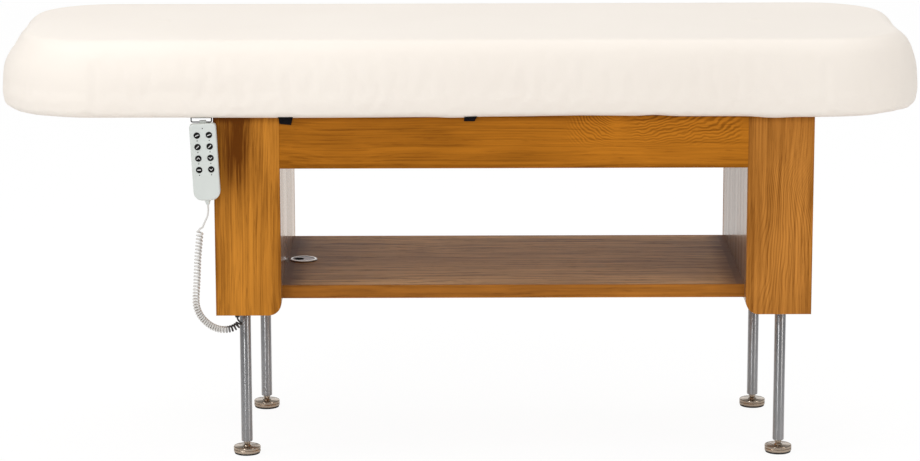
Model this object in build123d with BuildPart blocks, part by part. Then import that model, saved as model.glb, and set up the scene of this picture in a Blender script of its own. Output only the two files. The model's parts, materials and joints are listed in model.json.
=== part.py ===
"""Height-adjustable beauty treatment bed, modelled at its raised height.

Millimetres, +Z up. The origin lies on the floor under the middle of the mattress, +X runs to the right of
the front view and the front faces -Y. The carcass stands off-centre under the mattress, so that the left
end overhangs more than the right end.
"""
import math
import os
from bisect import bisect_left

from build123d import *

os.makedirs("parts", exist_ok=True)

# Driving sizes of the bed
mattress_length = 2028.0
mattress_width = 708.0
mattress_thickness = 166.0
mattress_underside = 784.0
left_overhang = 478.0
right_overhang = 246.0
side_overhang = 33.0
carcass_underside = 342.0
upright_width = 143.0
apron_height = 115.0

# Clearances
running_gap = 0.1
loose_gap = 0.3
overrun = 2.0

# Mattress: a crowned cushion on a plywood base board that is let into its underside
mattress_corner = 233.0
mattress_top_round = 87.0
mattress_hem_round = 20.0
mattress_bulge = 4.0
mattress_crown = 1.5
mattress_crown_run = 130.0
mattress_side_draw = 4.0
mattress_end_draw = 3.0
base_board_inset = 50.0
base_board_thickness = 18.0

# Black webbing tabs that hang from the mattress in front of and behind the carcass
tab_width = 30.0
tab_thickness = 1.6
tab_foot = 18.0
left_tab_gap = 18.0
left_tab_drop = 18.5
middle_tab_offset = 92.0
middle_tab_drop = 12.5

# Rubber buffers under the overhanging ends
buffer_radius = 5.5
buffer_height = 6.0
buffer_chamfer = 1.5
buffer_end_inset = 128.0
buffer_side_inset = 99.0

# Boards of the carcass
panel_thickness = 18.0
inner_panel_thickness = 12.0
bottom_board_thickness = 12.0
corner_radius = 28.0
corner_foot = 12.0
cross_rail_thickness = 18.0
cross_rail_height = 80.0
cross_rail_offset = 170.0

# Shelf between the uprights
shelf_rise = 57.0
shelf_thickness = 29.0
shelf_recess = 49.0
shelf_edging = 6.0

# Wooden dowels of the butt joints
dowel_radius = 4.0
dowel_end_gap = 1.0
apron_dowel_depth = 16.0
apron_dowel_edge = 28.0
shelf_dowel_depth = 22.0
shelf_dowel_panel_depth = 9.0
shelf_dowel_inset = 52.0
shelf_dowel_pitch = 100.0

# Cable grommet in the shelf
grommet_edge_gap = 4.0
grommet_radius = 31.0
grommet_body_radius = 27.0
grommet_bore_radius = 22.0
grommet_rim_height = 3.0
grommet_rim_step = 1.0
grommet_rim_bevel = 2.0
grommet_ledge_depth = 3.6
grommet_seat_radius = 25.0
grommet_cover_thickness = 2.6
grommet_notch_radius = 12.0
grommet_notch_offset = 11.0

# Legs: two tubes a side, joined inside the upright by a crosshead on a lead screw
leg_radius = 12.5
leg_wall = 2.0
leg_face_inset = 114.5
front_leg_inset = 56.0
rear_leg_inset = 77.0
leg_bottom = 28.0
leg_end_chamfer = 1.5
socket_length = 30.0
bush_wall = 2.5
bush_length = 42.0
bush_flange_radius = 19.0
bush_flange_height = 3.0
crosshead_gap = 18.0
crosshead_height = 28.0
crosshead_width = 40.0
crosshead_seat_depth = 20.0
nut_radius = 14.0
nut_flange_radius = 20.0
nut_flange_height = 5.0
screw_radius = 8.0
screw_drive_radius = 6.0
screw_drive_length = 24.0
screw_journal_radius = 5.0
bearing_height = 20.0
bearing_width = 40.0
bearing_head_gap = 4.0
stroke_end_gap = 12.0

# Gearmotor on each bottom board
gearbox_width = 70.0
gearbox_height = 58.0
gearbox_round = 6.0
motor_radius = 26.0
motor_leg_gap = 39.0
motor_lift = 30.0
motor_cap_length = 8.0
motor_cap_radius = 20.0
motor_screw_radius = 2.5
motor_screw_head_radius = 4.5
motor_screw_head_height = 3.0
motor_screw_length = 26.0
motor_screw_inset = 10.0

# Levelling feet: rubber sole, two-step disc, swivel neck and stud
sole_height = 4.0
sole_radius = 28.5
disc_radius = 30.0
disc_top = 17.0
disc_chamfer = 1.0
disc_groove_depth = 1.0
disc_groove_height = 1.6
disc_groove_level = 10.5
neck_base_radius = 9.0
neck_base_top = 20.0
neck_waist_radius = 5.5
neck_waist_top = 21.5
neck_collar_radius = 7.5
neck_chamfer = 0.8
stud_radius = 6.0
stud_top = 76.0

# Control box and wiring under the base board
box_length = 220.0
box_width = 110.0
box_height = 45.0
box_round = 5.0
box_chamfer = 1.6
box_face_gap = 113.0
wire_radius = 2.6
wire_hole_radius = 5.0
wire_bend = 16.0
wire_bend_share = 0.9
wire_drop = 24.0
motor_wire_inset = 107.0
handset_wire_box_offset = -60.0
mains_offset = 60.0
inlet_length = 48.0
inlet_height = 28.0
inlet_plate = 2.5
inlet_body_length = 32.0
inlet_body_height = 22.0
inlet_body_depth = 26.0
inlet_socket_length = 25.0
inlet_socket_height = 16.0
inlet_socket_depth = 18.0

# Wire bail that carries the handset
bail_wire_radius = 1.3
bail_left_offset = 46.5
bail_right_offset = 2.5
bail_front_gap = 3.5
bail_drop = 11.0
bail_bend = 3.0
bail_plate_thickness = 2.0
bail_plate_depth = 52.0
bail_plate_lip = 2.5

# Handset, tilted in the plane of the carcass front
handset_width = 58.0
handset_height = 168.5
handset_thickness = 18.0
handset_wall = 2.0
handset_offset = 17.0
handset_back_gap = 8.2
handset_drop = 95.8
handset_tilt = 2.9
handset_top_corner = 8.0
handset_bottom_corner = 20.0
handset_edge_round = 3.0
shell_split = 9.0
board_thickness = 1.6
board_gap = 1.0
post_radius = 2.5
post_place = (19.0, 68.0)
button_radius = 6.8
button_flange = 1.2
button_flange_height = 1.5
button_stand = 1.2
button_edge = 0.6
button_travel = 1.2
press_gap = 0.5
button_columns = 26.2
button_pitch = 25.2
button_first = 24.7
light_radius = 1.2
light_drop = 11.7
light_top_drop = 9.8
light_stand = 0.1
hanger_width = 14.0
hanger_thickness = 1.6
hanger_foot = 26.0
hanger_reach = 9.0
hanger_lip = 8.0
relief_length = 10.0
relief_base_radius = 7.0
relief_tip_radius = 3.4

# Handset cord
cord_radius = 2.0
lead_drop = 22.0
cord_bend_share = 0.45
curl_radius = 6.0
curl_pitch_hanging = 7.6
curl_pitch_lying = 5.7
curl_loose_extra = 1.2
curl_rise_extra = 1.3
curl_lead_in = 7.0
curl_rise = 8.0
opening_over_share = 0.125
lying_from_share = 0.5
lying_over_share = 0.167
rising_from_share = 0.8
rising_over_share = 0.125
turn_step = 0.02
gland_radius = 12.0
gland_flange_height = 3.0
gland_stem_radius = 8.0
gland_tip_radius = 4.0
gland_drop = 9.0
gland_inset = 44.0
gland_front_inset = 36.0

# Bends of the lead from where it leaves the relief, and of the coil from the straight line between its ends
lead_offsets = ((-8.4, 0.0, -16.1), (-12.5, 0.0, -26.1))
curl_offsets = (
    (-12.7, -3.8, -6.6),
    (-20.1, -7.6, -15.1),
    (-27.5, -11.4, -25.7),
    (-33.7, -15.0, -36.3),
    (-40.0, -17.8, -46.9),
    (-47.0, -19.6, -57.4),
    (-53.6, -18.4, -68.0),
    (-52.0, -15.2, -76.6),
    (-43.9, -12.0, -80.1),
    (-30.7, -8.8, -79.7),
    (-15.5, -4.6, -70.8),
    (-1.3, -0.4, -54.4),
    (6.8, 2.3, -31.9),
)

# Levels and faces that several pieces share
carcass_length = mattress_length - left_overhang - right_overhang
carcass_depth = mattress_width - 2 * side_overhang
carcass_shift = (left_overhang - right_overhang) / 2
half_depth = carcass_depth / 2
inner_half_depth = half_depth - panel_thickness
shelf_half_depth = half_depth - shelf_recess
outer_dowel = shelf_half_depth - shelf_dowel_inset
inner_dowel = outer_dowel - shelf_dowel_pitch
shelf_dowel_places = (-outer_dowel, -inner_dowel, inner_dowel, outer_dowel)
leg_face = half_depth - leg_face_inset - leg_radius
motor_length = leg_face - motor_leg_gap - motor_cap_length - gearbox_width / 2
box_front = box_face_gap - inner_half_depth
box_middle = box_front + box_width / 2
carcass_height = mattress_underside - carcass_underside
apron_bottom = mattress_underside - apron_height
span = carcass_length - 2 * upright_width
board_top = carcass_underside + bottom_board_thickness
gearbox_top = board_top + gearbox_height
crosshead_bottom = gearbox_top + crosshead_gap
crosshead_top = crosshead_bottom + crosshead_height
leg_top = crosshead_bottom + crosshead_seat_depth
bearing_top = mattress_underside - bearing_head_gap
bearing_bottom = bearing_top - bearing_height
lift_stroke = bearing_bottom - crosshead_top - stroke_end_gap
wire_level = mattress_underside - wire_drop
shelf_top = carcass_underside + shelf_rise
shelf_bottom = shelf_top - shelf_thickness
sides = {"left": -1, "right": 1}
ends = {"front": -1, "rear": 1}
print("lift stroke", lift_stroke)


def from_outside(side, inset):
    """X of a plane that lies inset inwards of the carcass's outer face on one side."""
    return carcass_shift + side * (carcass_length / 2 - inset)


def leg_centres(side):
    """Centres of the front and the rear leg tube on one side."""
    return [
        Vector(from_outside(side, front_leg_inset), leg_face_inset - half_depth),
        Vector(from_outside(side, rear_leg_inset), half_depth - leg_face_inset),
    ]


def upright_plane(centre):
    """Vertical plane through an upright axis; its own axes run along X and Z."""
    return Plane(origin=(centre.X, centre.Y, 0), x_dir=(1, 0, 0), z_dir=(0, -1, 0))


def upright_axis(centre):
    """Upright axis through a centre."""
    return Axis((centre.X, centre.Y, 0), (0, 0, 1))


def keep(piece, name):
    """Label a finished piece and write it."""
    piece.part.label = name
    export_step(piece.part, f"parts/{name}.step")


# Mattress and what hangs from it


def cushion_outline(level, inset):
    """Plan of the cushion at one level: four round corners and four sides drawn in between them."""
    half_length = mattress_length / 2 - inset
    half_width = mattress_width / 2 - inset
    radius = mattress_corner - inset
    run = half_length - radius
    rise = half_width - radius
    lean = radius * math.sqrt(0.5)
    with BuildSketch(Plane.XY.offset(level)) as outline:
        with BuildLine():
            for x_sign, y_sign in ((1, 1), (-1, 1), (-1, -1), (1, -1)):
                ThreePointArc(
                    (x_sign * half_length, y_sign * rise),
                    (x_sign * (run + lean), y_sign * (rise + lean)),
                    (x_sign * run, y_sign * half_width),
                )
            for sign in (1, -1):
                ThreePointArc(
                    (-run, sign * half_width),
                    (0, sign * (half_width - mattress_side_draw)),
                    (run, sign * half_width),
                )
                ThreePointArc(
                    (sign * half_length, -rise),
                    (sign * (half_length - mattress_end_draw), 0),
                    (sign * half_length, rise),
                )
        make_face()
    return outline


def cushion_profile():
    """Level above the underside and inset of each outline: hem arc, swelling wall, shoulder arc, then crown."""
    hem_steps = 3
    wall_steps = 4
    shoulder_steps = 6
    profile = []
    for step in range(hem_steps + 1):
        turn = math.pi / 2 * step / hem_steps
        rise = mattress_hem_round * (1 - math.cos(turn))
        profile.append((rise, mattress_bulge + mattress_hem_round * (1 - math.sin(turn))))
    shoulder = mattress_thickness - mattress_crown - mattress_top_round
    for step in range(1, wall_steps):
        share = step / wall_steps
        rise = mattress_hem_round + (shoulder - mattress_hem_round) * share
        profile.append((rise, mattress_bulge * (1 - math.sin(math.pi * share))))
    for step in range(shoulder_steps + 1):
        turn = math.pi / 2 * step / shoulder_steps
        rise = shoulder + mattress_top_round * math.sin(turn)
        profile.append((rise, mattress_bulge + mattress_top_round * (1 - math.cos(turn))))
    profile.append((mattress_thickness, mattress_bulge + mattress_top_round + mattress_crown_run))
    return profile


with BuildPart() as mattress:
    for rise, inset in cushion_profile():
        add(cushion_outline(mattress_underside + rise, inset).sketch)
    loft(ruled=True)
    add(cushion_outline(mattress_underside, base_board_inset).sketch)
    extrude(amount=base_board_thickness, mode=Mode.SUBTRACT)
keep(mattress, "mattress")

with BuildPart() as base_board:
    add(cushion_outline(mattress_underside, base_board_inset).sketch)
    extrude(amount=base_board_thickness)
keep(base_board, "base_board")

tab_drops = {
    from_outside(sides["left"], upright_width) + left_tab_gap: left_tab_drop,
    carcass_shift - middle_tab_offset: middle_tab_drop,
}
with BuildPart() as mattress_tabs:
    for place, drop in tab_drops.items():
        for end in ends.values():
            face = end * half_depth
            with BuildSketch(Plane.YZ.offset(place)):
                with BuildLine():
                    Polyline(
                        (face, mattress_underside),
                        (face + end * tab_foot, mattress_underside),
                        (face + end * tab_foot, mattress_underside - tab_thickness),
                        (face + end * tab_thickness, mattress_underside - tab_thickness),
                        (face + end * tab_thickness, mattress_underside - drop),
                        (face, mattress_underside - drop),
                        close=True,
                    )
                make_face()
            extrude(amount=tab_width / 2, both=True)
keep(mattress_tabs, "mattress_tabs")

with BuildPart() as underside_buffers:
    buffer_x = mattress_length / 2 - buffer_end_inset
    buffer_y = mattress_width / 2 - buffer_side_inset
    with BuildSketch(Plane.XY.offset(mattress_underside)):
        with GridLocations(2 * buffer_x, 2 * buffer_y, 2, 2):
            Circle(buffer_radius)
    extrude(amount=-buffer_height)
    chamfer(underside_buffers.faces().group_by(Axis.Z)[0].edges(), buffer_chamfer)
keep(underside_buffers, "underside_buffers")

# Carcass boards

dowel_levels = (apron_bottom + apron_dowel_edge, mattress_underside - apron_dowel_edge)
apron_middle = half_depth - panel_thickness / 2
shelf_middle = shelf_top - shelf_thickness / 2
corner_reach = corner_radius + corner_foot
gland_y = -half_depth + gland_front_inset


def upright_panel(side, end):
    """Front or rear panel of one upright on the current part, rounded at its inner lower corner."""
    inner_face = from_outside(side, upright_width)
    with BuildSketch(Plane.XZ.offset(-end * half_depth)) as face:
        with Locations((from_outside(side, upright_width / 2), carcass_underside + carcass_height / 2)):
            Rectangle(upright_width, carcass_height)
        corner = face.vertices().sort_by_distance(Vector(inner_face, carcass_underside))[0]
        fillet(corner, radius=corner_radius)
    extrude(face.sketch, amount=end * panel_thickness)
    with BuildSketch(Plane.YZ.offset(inner_face)) as bores:
        with Locations(*[(end * apron_middle, level) for level in dowel_levels]):
            Circle(dowel_radius)
    extrude(bores.sketch, amount=side * apron_dowel_depth, mode=Mode.SUBTRACT)


for side_name, side in sides.items():
    with BuildPart() as front_panel:
        upright_panel(side, ends["front"])
    keep(front_panel, f"{side_name}_front_panel")

with BuildPart() as rear_panels:
    for side in sides.values():
        upright_panel(side, ends["rear"])
keep(rear_panels, "rear_panels")

with BuildPart() as outer_panels:
    with BuildSketch(Plane.XZ):
        for side in sides.values():
            middle = from_outside(side, panel_thickness / 2)
            with Locations((middle, carcass_underside + carcass_height / 2)):
                Rectangle(panel_thickness, carcass_height)
    extrude(amount=inner_half_depth, both=True)
keep(outer_panels, "outer_panels")


def bent_panel(side):
    """Inner panel of one upright on the current part: it turns outwards along the rounded lower corner."""
    inner_face = from_outside(side, upright_width)
    with BuildSketch(Plane.XZ) as bend:
        middle = from_outside(side, upright_width - corner_reach / 2)
        with Locations((middle, carcass_underside + carcass_height / 2)):
            Rectangle(corner_reach, carcass_height)
        corner = bend.vertices().sort_by_distance(Vector(inner_face, carcass_underside))[0]
        fillet(corner, radius=corner_radius)
        hollow_width = corner_reach - inner_panel_thickness
        hollow_x = from_outside(side, upright_width - inner_panel_thickness - hollow_width / 2)
        with Locations((hollow_x, board_top + carcass_height / 2)):
            Rectangle(hollow_width, carcass_height, mode=Mode.SUBTRACT)
        inside = Vector(from_outside(side, upright_width - inner_panel_thickness), board_top)
        corner = bend.vertices().sort_by_distance(inside)[0]
        fillet(corner, radius=corner_radius - inner_panel_thickness)
    extrude(bend.sketch, amount=inner_half_depth, both=True)
    with BuildSketch(Plane.YZ.offset(inner_face)) as dowel_bores:
        with Locations(*[(place, shelf_middle) for place in shelf_dowel_places]):
            Circle(dowel_radius)
    extrude(dowel_bores.sketch, amount=side * shelf_dowel_panel_depth, mode=Mode.SUBTRACT)
    with BuildSketch(Plane.YZ.offset(inner_face - side * overrun)) as wire_bores:
        with Locations((box_middle, wire_level)):
            Circle(wire_hole_radius)
        if side == sides["left"]:
            with Locations((gland_y, wire_level)):
                Circle(wire_hole_radius)
    extrude(wire_bores.sketch, amount=side * (inner_panel_thickness + 2 * overrun), mode=Mode.SUBTRACT)


with BuildPart() as inner_panels:
    for side in sides.values():
        bent_panel(side)
keep(inner_panels, "inner_panels")

gland_place = (from_outside(sides["left"], gland_inset), gland_y)
bottom_board_width = upright_width - panel_thickness - corner_reach
motor_screw_spacing = gearbox_width - 2 * motor_screw_inset


def screw_axis(side):
    """Centre of the lead screw: midway between the two legs of one side."""
    front, rear = leg_centres(side)
    return (front + rear) / 2


with BuildPart() as bottom_boards:
    for side in sides.values():
        middle = from_outside(side, panel_thickness + bottom_board_width / 2)
        with BuildSketch(Plane.XY.offset(carcass_underside)):
            with Locations((middle, 0)):
                Rectangle(bottom_board_width, 2 * inner_half_depth)
            with Locations(*leg_centres(side)):
                Circle(leg_radius + running_gap + bush_wall, mode=Mode.SUBTRACT)
            with Locations(screw_axis(side)):
                with GridLocations(motor_screw_spacing, motor_screw_spacing, 2, 2):
                    Circle(motor_screw_radius, mode=Mode.SUBTRACT)
            if side < 0:
                with Locations(gland_place):
                    Circle(gland_stem_radius, mode=Mode.SUBTRACT)
        extrude(amount=bottom_board_thickness)
keep(bottom_boards, "bottom_boards")

for end_name, end in ends.items():
    with BuildPart() as apron:
        with BuildSketch(Plane.XZ.offset(-end * half_depth)):
            with Locations((carcass_shift, apron_bottom + apron_height / 2)):
                Rectangle(span, apron_height)
            if end_name == "rear":
                with Locations((carcass_shift + mains_offset, wire_level)):
                    Rectangle(inlet_body_length, inlet_body_height, mode=Mode.SUBTRACT)
        extrude(amount=end * panel_thickness)
        for side in sides.values():
            with BuildSketch(Plane.YZ.offset(from_outside(side, upright_width))):
                with Locations(*[(end * apron_middle, level) for level in dowel_levels]):
                    Circle(dowel_radius)
            extrude(amount=-side * apron_dowel_depth, mode=Mode.SUBTRACT)
    keep(apron, f"{end_name}_apron")

with BuildPart() as cross_rails:
    for sign in sides.values():
        middle = carcass_shift + sign * cross_rail_offset
        with BuildSketch(Plane.YZ.offset(middle)):
            with Locations((0, mattress_underside - cross_rail_height / 2)):
                Rectangle(2 * inner_half_depth, cross_rail_height)
            with Locations((box_middle, wire_level)):
                Circle(wire_hole_radius, mode=Mode.SUBTRACT)
            if sign < 0:
                with Locations((gland_y, wire_level)):
                    Circle(wire_hole_radius, mode=Mode.SUBTRACT)
        extrude(amount=cross_rail_thickness / 2, both=True)
keep(cross_rails, "cross_rails")

# Shelf, its edgings, dowels and cable grommet

grommet_x = from_outside(sides["left"], upright_width) + grommet_edge_gap + grommet_radius
grommet_centre = Vector(grommet_x, 0)

with BuildPart() as shelf_board:
    with BuildSketch(Plane.XY.offset(shelf_bottom)):
        with Locations((carcass_shift, 0)):
            Rectangle(span, 2 * (shelf_half_depth - shelf_edging))
        with Locations((grommet_x, 0)):
            Circle(grommet_body_radius, mode=Mode.SUBTRACT)
    extrude(amount=shelf_thickness)
    for side in sides.values():
        with BuildSketch(Plane.YZ.offset(from_outside(side, upright_width))):
            with Locations(*[(place, shelf_middle) for place in shelf_dowel_places]):
                Circle(dowel_radius)
        extrude(amount=-side * shelf_dowel_depth, mode=Mode.SUBTRACT)
keep(shelf_board, "shelf_board")

with BuildPart() as shelf_edgings:
    for end in ends.values():
        with BuildSketch(Plane.XZ.offset(-end * shelf_half_depth)):
            with Locations((carcass_shift, shelf_middle)):
                Rectangle(span, shelf_thickness)
        extrude(amount=end * shelf_edging)
keep(shelf_edgings, "shelf_edgings")

with BuildPart() as joint_dowels:
    for side in sides.values():
        inner_face = from_outside(side, upright_width)
        with BuildSketch(Plane.YZ.offset(inner_face)):
            with Locations(*[(end * apron_middle, level) for end in ends.values() for level in dowel_levels]):
                Circle(dowel_radius)
        extrude(amount=apron_dowel_depth - dowel_end_gap, both=True)
        dowel_start = inner_face + side * (shelf_dowel_panel_depth - dowel_end_gap)
        with BuildSketch(Plane.YZ.offset(dowel_start)):
            with Locations(*[(place, shelf_middle) for place in shelf_dowel_places]):
                Circle(dowel_radius)
        extrude(amount=-side * (shelf_dowel_panel_depth + shelf_dowel_depth - 2 * dowel_end_gap))
keep(joint_dowels, "joint_dowels")

rim_top = shelf_top + grommet_rim_height
with BuildPart() as grommet_ring:
    with BuildSketch(upright_plane(grommet_centre)):
        with BuildLine():
            Polyline(
                (grommet_bore_radius, shelf_bottom),
                (grommet_body_radius, shelf_bottom),
                (grommet_body_radius, shelf_top),
                (grommet_radius, shelf_top),
                (grommet_radius, shelf_top + grommet_rim_step),
                (grommet_radius - grommet_rim_bevel, rim_top),
                (grommet_seat_radius, rim_top),
                (grommet_seat_radius, rim_top - grommet_ledge_depth),
                (grommet_bore_radius, rim_top - grommet_ledge_depth),
                close=True,
            )
        make_face()
    revolve(axis=upright_axis(grommet_centre))
keep(grommet_ring, "grommet_ring")

with BuildPart() as grommet_cover:
    with BuildSketch(Plane.XY.offset(rim_top - grommet_ledge_depth + loose_gap)):
        with Locations((grommet_x, 0)):
            Circle(grommet_seat_radius - loose_gap)
        with Locations((grommet_x - grommet_notch_offset, 0)):
            Circle(grommet_notch_radius, mode=Mode.SUBTRACT)
    extrude(amount=grommet_cover_thickness)
keep(grommet_cover, "grommet_cover")

# Lift: fixed guides, bearings and gearmotors

bush_radius = leg_radius + running_gap + bush_wall
with BuildPart() as leg_bushes:
    for side in sides.values():
        with Locations(*leg_centres(side)):
            with Locations((0, 0, carcass_underside - bush_flange_height)):
                Cylinder(bush_flange_radius, bush_flange_height, align=(Align.CENTER, Align.CENTER, Align.MIN))
            with Locations((0, 0, carcass_underside)):
                Cylinder(bush_radius, bush_length, align=(Align.CENTER, Align.CENTER, Align.MIN))
            with Locations((0, 0, carcass_underside - bush_flange_height - overrun)):
                Cylinder(
                    leg_radius + running_gap,
                    bush_length + bush_flange_height + 2 * overrun,
                    align=(Align.CENTER, Align.CENTER, Align.MIN),
                    mode=Mode.SUBTRACT,
                )
keep(leg_bushes, "leg_bushes")

with BuildPart() as screw_bearings:
    bearing_length = upright_width - panel_thickness - inner_panel_thickness
    for side in sides.values():
        with BuildSketch(Plane.XY.offset(bearing_bottom)):
            with Locations((from_outside(side, panel_thickness + bearing_length / 2), 0)):
                Rectangle(bearing_length, bearing_width)
            with Locations(screw_axis(side)):
                Circle(screw_journal_radius + running_gap, mode=Mode.SUBTRACT)
        extrude(amount=bearing_height)
keep(screw_bearings, "screw_bearings")

motor_level = board_top + motor_lift
motor_front = -(gearbox_width / 2 + motor_length)
for side_name, side in sides.items():
    centre = screw_axis(side)
    with BuildPart() as gearmotor:
        with BuildSketch(Plane.XY.offset(board_top)):
            with Locations(centre):
                RectangleRounded(gearbox_width, gearbox_width, gearbox_round)
        extrude(amount=gearbox_height)
        with BuildSketch(Plane.XZ.offset(gearbox_width / 2)):
            with Locations((centre.X, motor_level)):
                Circle(motor_radius)
        extrude(amount=motor_length)
        with BuildSketch(Plane.XZ.offset(-motor_front)):
            with Locations((centre.X, motor_level)):
                Circle(motor_cap_radius)
        extrude(amount=motor_cap_length)
        with BuildSketch(Plane.XY.offset(gearbox_top)):
            with Locations(centre):
                Circle(screw_drive_radius + running_gap)
        extrude(amount=-screw_drive_length, mode=Mode.SUBTRACT)
        with BuildSketch(Plane.XY.offset(board_top)):
            with Locations(centre):
                with GridLocations(motor_screw_spacing, motor_screw_spacing, 2, 2):
                    Circle(motor_screw_radius)
        extrude(amount=motor_screw_length - bottom_board_thickness, mode=Mode.SUBTRACT)
    keep(gearmotor, f"{side_name}_gearmotor")

with BuildPart() as gearmotor_screws:
    for side in sides.values():
        with Locations(screw_axis(side)):
            with GridLocations(motor_screw_spacing, motor_screw_spacing, 2, 2):
                with Locations((0, 0, carcass_underside)):
                    Cylinder(
                        motor_screw_radius,
                        motor_screw_length,
                        align=(Align.CENTER, Align.CENTER, Align.MIN),
                    )
                    Cylinder(
                        motor_screw_head_radius,
                        motor_screw_head_height,
                        align=(Align.CENTER, Align.CENTER, Align.MAX),
                    )
keep(gearmotor_screws, "gearmotor_screws")

# Lift: what moves, one set a side

for side_name, side in sides.items():
    front, rear = leg_centres(side)
    centre = screw_axis(side)
    bar = rear - front

    with BuildPart() as lead_screw:
        with BuildSketch(upright_plane(centre)):
            with BuildLine():
                Polyline(
                    (0, gearbox_top - screw_drive_length + loose_gap),
                    (screw_drive_radius, gearbox_top - screw_drive_length + loose_gap),
                    (screw_drive_radius, gearbox_top + loose_gap),
                    (screw_radius, gearbox_top + loose_gap),
                    (screw_radius, bearing_bottom - loose_gap),
                    (screw_journal_radius, bearing_bottom - loose_gap),
                    (screw_journal_radius, bearing_top),
                    (0, bearing_top),
                    close=True,
                )
            make_face()
        revolve(axis=upright_axis(centre))
    keep(lead_screw, f"{side_name}_lead_screw")

    with BuildPart() as crosshead:
        with BuildSketch(Plane.XY.offset(crosshead_bottom)):
            with Locations(centre):
                SlotCenterToCenter(bar.length, crosshead_width, rotation=math.degrees(math.atan2(bar.Y, bar.X)))
            with Locations(centre):
                Circle(nut_radius, mode=Mode.SUBTRACT)
        extrude(amount=crosshead_height)
        with BuildSketch(Plane.XY.offset(crosshead_bottom)):
            with Locations(front, rear):
                Circle(leg_radius)
        extrude(amount=crosshead_seat_depth, mode=Mode.SUBTRACT)
    keep(crosshead, f"{side_name}_crosshead")

    with BuildPart() as drive_nut:
        with BuildSketch(Plane.XY.offset(crosshead_bottom - nut_flange_height)):
            with Locations(centre):
                Circle(nut_flange_radius)
        extrude(amount=nut_flange_height)
        with BuildSketch(Plane.XY.offset(crosshead_bottom)):
            with Locations(centre):
                Circle(nut_radius)
        extrude(amount=crosshead_height)
        with BuildSketch(Plane.XY.offset(crosshead_bottom - nut_flange_height)):
            with Locations(centre):
                Circle(screw_radius + running_gap)
        extrude(amount=nut_flange_height + crosshead_height, mode=Mode.SUBTRACT)
    keep(drive_nut, f"{side_name}_drive_nut")

    for end_name, place in zip(ends, (front, rear)):
        with BuildPart() as leg_tube:
            with BuildSketch(Plane.XY.offset(leg_bottom)):
                with Locations(place):
                    Circle(leg_radius)
            extrude(amount=leg_top - leg_bottom)
            chamfer(leg_tube.faces().sort_by(Axis.Z)[0].edges(), leg_end_chamfer)
            with BuildSketch(Plane.XY.offset(leg_bottom)):
                with Locations(place):
                    Circle(leg_radius - leg_wall)
            extrude(amount=leg_top - leg_bottom, mode=Mode.SUBTRACT)
        keep(leg_tube, f"{side_name}_{end_name}_leg")

    with BuildPart() as leg_sockets:
        with BuildSketch(Plane.XY.offset(leg_bottom)):
            with Locations(front, rear):
                Circle(leg_radius - leg_wall)
                Circle(stud_radius + running_gap, mode=Mode.SUBTRACT)
        extrude(amount=socket_length)
    keep(leg_sockets, f"{side_name}_leg_sockets")

    for end_name, place in zip(ends, (front, rear)):
        with BuildPart() as foot_disc:
            with BuildSketch(upright_plane(place)):
                with BuildLine():
                    Polyline(
                        (0, sole_height),
                        (disc_radius - disc_chamfer, sole_height),
                        (disc_radius, sole_height + disc_chamfer),
                        (disc_radius, disc_groove_level - disc_groove_height / 2),
                        (disc_radius - disc_groove_depth, disc_groove_level),
                        (disc_radius, disc_groove_level + disc_groove_height / 2),
                        (disc_radius, disc_top - disc_chamfer),
                        (disc_radius - disc_chamfer, disc_top),
                        (neck_base_radius, disc_top),
                        (neck_waist_radius, neck_base_top),
                        (neck_waist_radius, neck_waist_top),
                        (neck_collar_radius, neck_waist_top + neck_chamfer),
                        (neck_collar_radius, leg_bottom - loose_gap - neck_chamfer),
                        (neck_collar_radius - neck_chamfer, leg_bottom - loose_gap),
                        (stud_radius, leg_bottom - loose_gap),
                        (stud_radius, stud_top - neck_chamfer),
                        (stud_radius - neck_chamfer, stud_top),
                        (0, stud_top),
                        close=True,
                    )
                make_face()
            revolve(axis=upright_axis(place))

        with BuildPart() as foot_sole:
            with BuildSketch(Plane.XY):
                with Locations(place):
                    Circle(sole_radius)
            extrude(amount=sole_height)

        foot = Compound([foot_disc.part.solid(), foot_sole.part.solid()])
        foot.label = f"{side_name}_{end_name}_foot"
        export_step(foot, f"parts/{foot.label}.step")

# Control box, mains inlet and the wiring inside the carcass


def tube(points, radius, bend):
    """Round wire along a bent route; a route of two points is straight."""
    with BuildLine() as route:
        if len(points) > 2:
            FilletPolyline(*points, radius=bend)
        else:
            Line(*points)
    with BuildSketch(Plane(origin=route.line @ 0, z_dir=route.line % 0)) as section:
        Circle(radius)
    sweep(sections=section.sketch, path=route.line)


box_left = carcass_shift - box_length / 2
box_bottom = mattress_underside - box_height
with BuildPart() as control_box:
    with BuildSketch(Plane.XY.offset(box_bottom)):
        with Locations((carcass_shift, box_middle)):
            RectangleRounded(box_length, box_width, box_round)
    extrude(amount=box_height)
    chamfer(control_box.faces().sort_by(Axis.Z)[0].edges(), box_chamfer)
keep(control_box, "control_box")

inlet_x = carcass_shift + mains_offset
with BuildPart() as mains_inlet:
    with BuildSketch(Plane.XZ.offset(-half_depth - inlet_plate)):
        with Locations((inlet_x, wire_level)):
            RectangleRounded(inlet_length, inlet_height, inlet_plate)
    extrude(amount=inlet_plate)
    with BuildSketch(Plane.XZ.offset(-half_depth)):
        with Locations((inlet_x, wire_level)):
            Rectangle(inlet_body_length, inlet_body_height)
    extrude(amount=inlet_body_depth)
    with BuildSketch(Plane.XZ.offset(-half_depth - inlet_plate)):
        with Locations((inlet_x, wire_level)):
            RectangleRounded(inlet_socket_length, inlet_socket_height, inlet_plate)
    extrude(amount=inlet_socket_depth, mode=Mode.SUBTRACT)
keep(mains_inlet, "mains_inlet")

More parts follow.
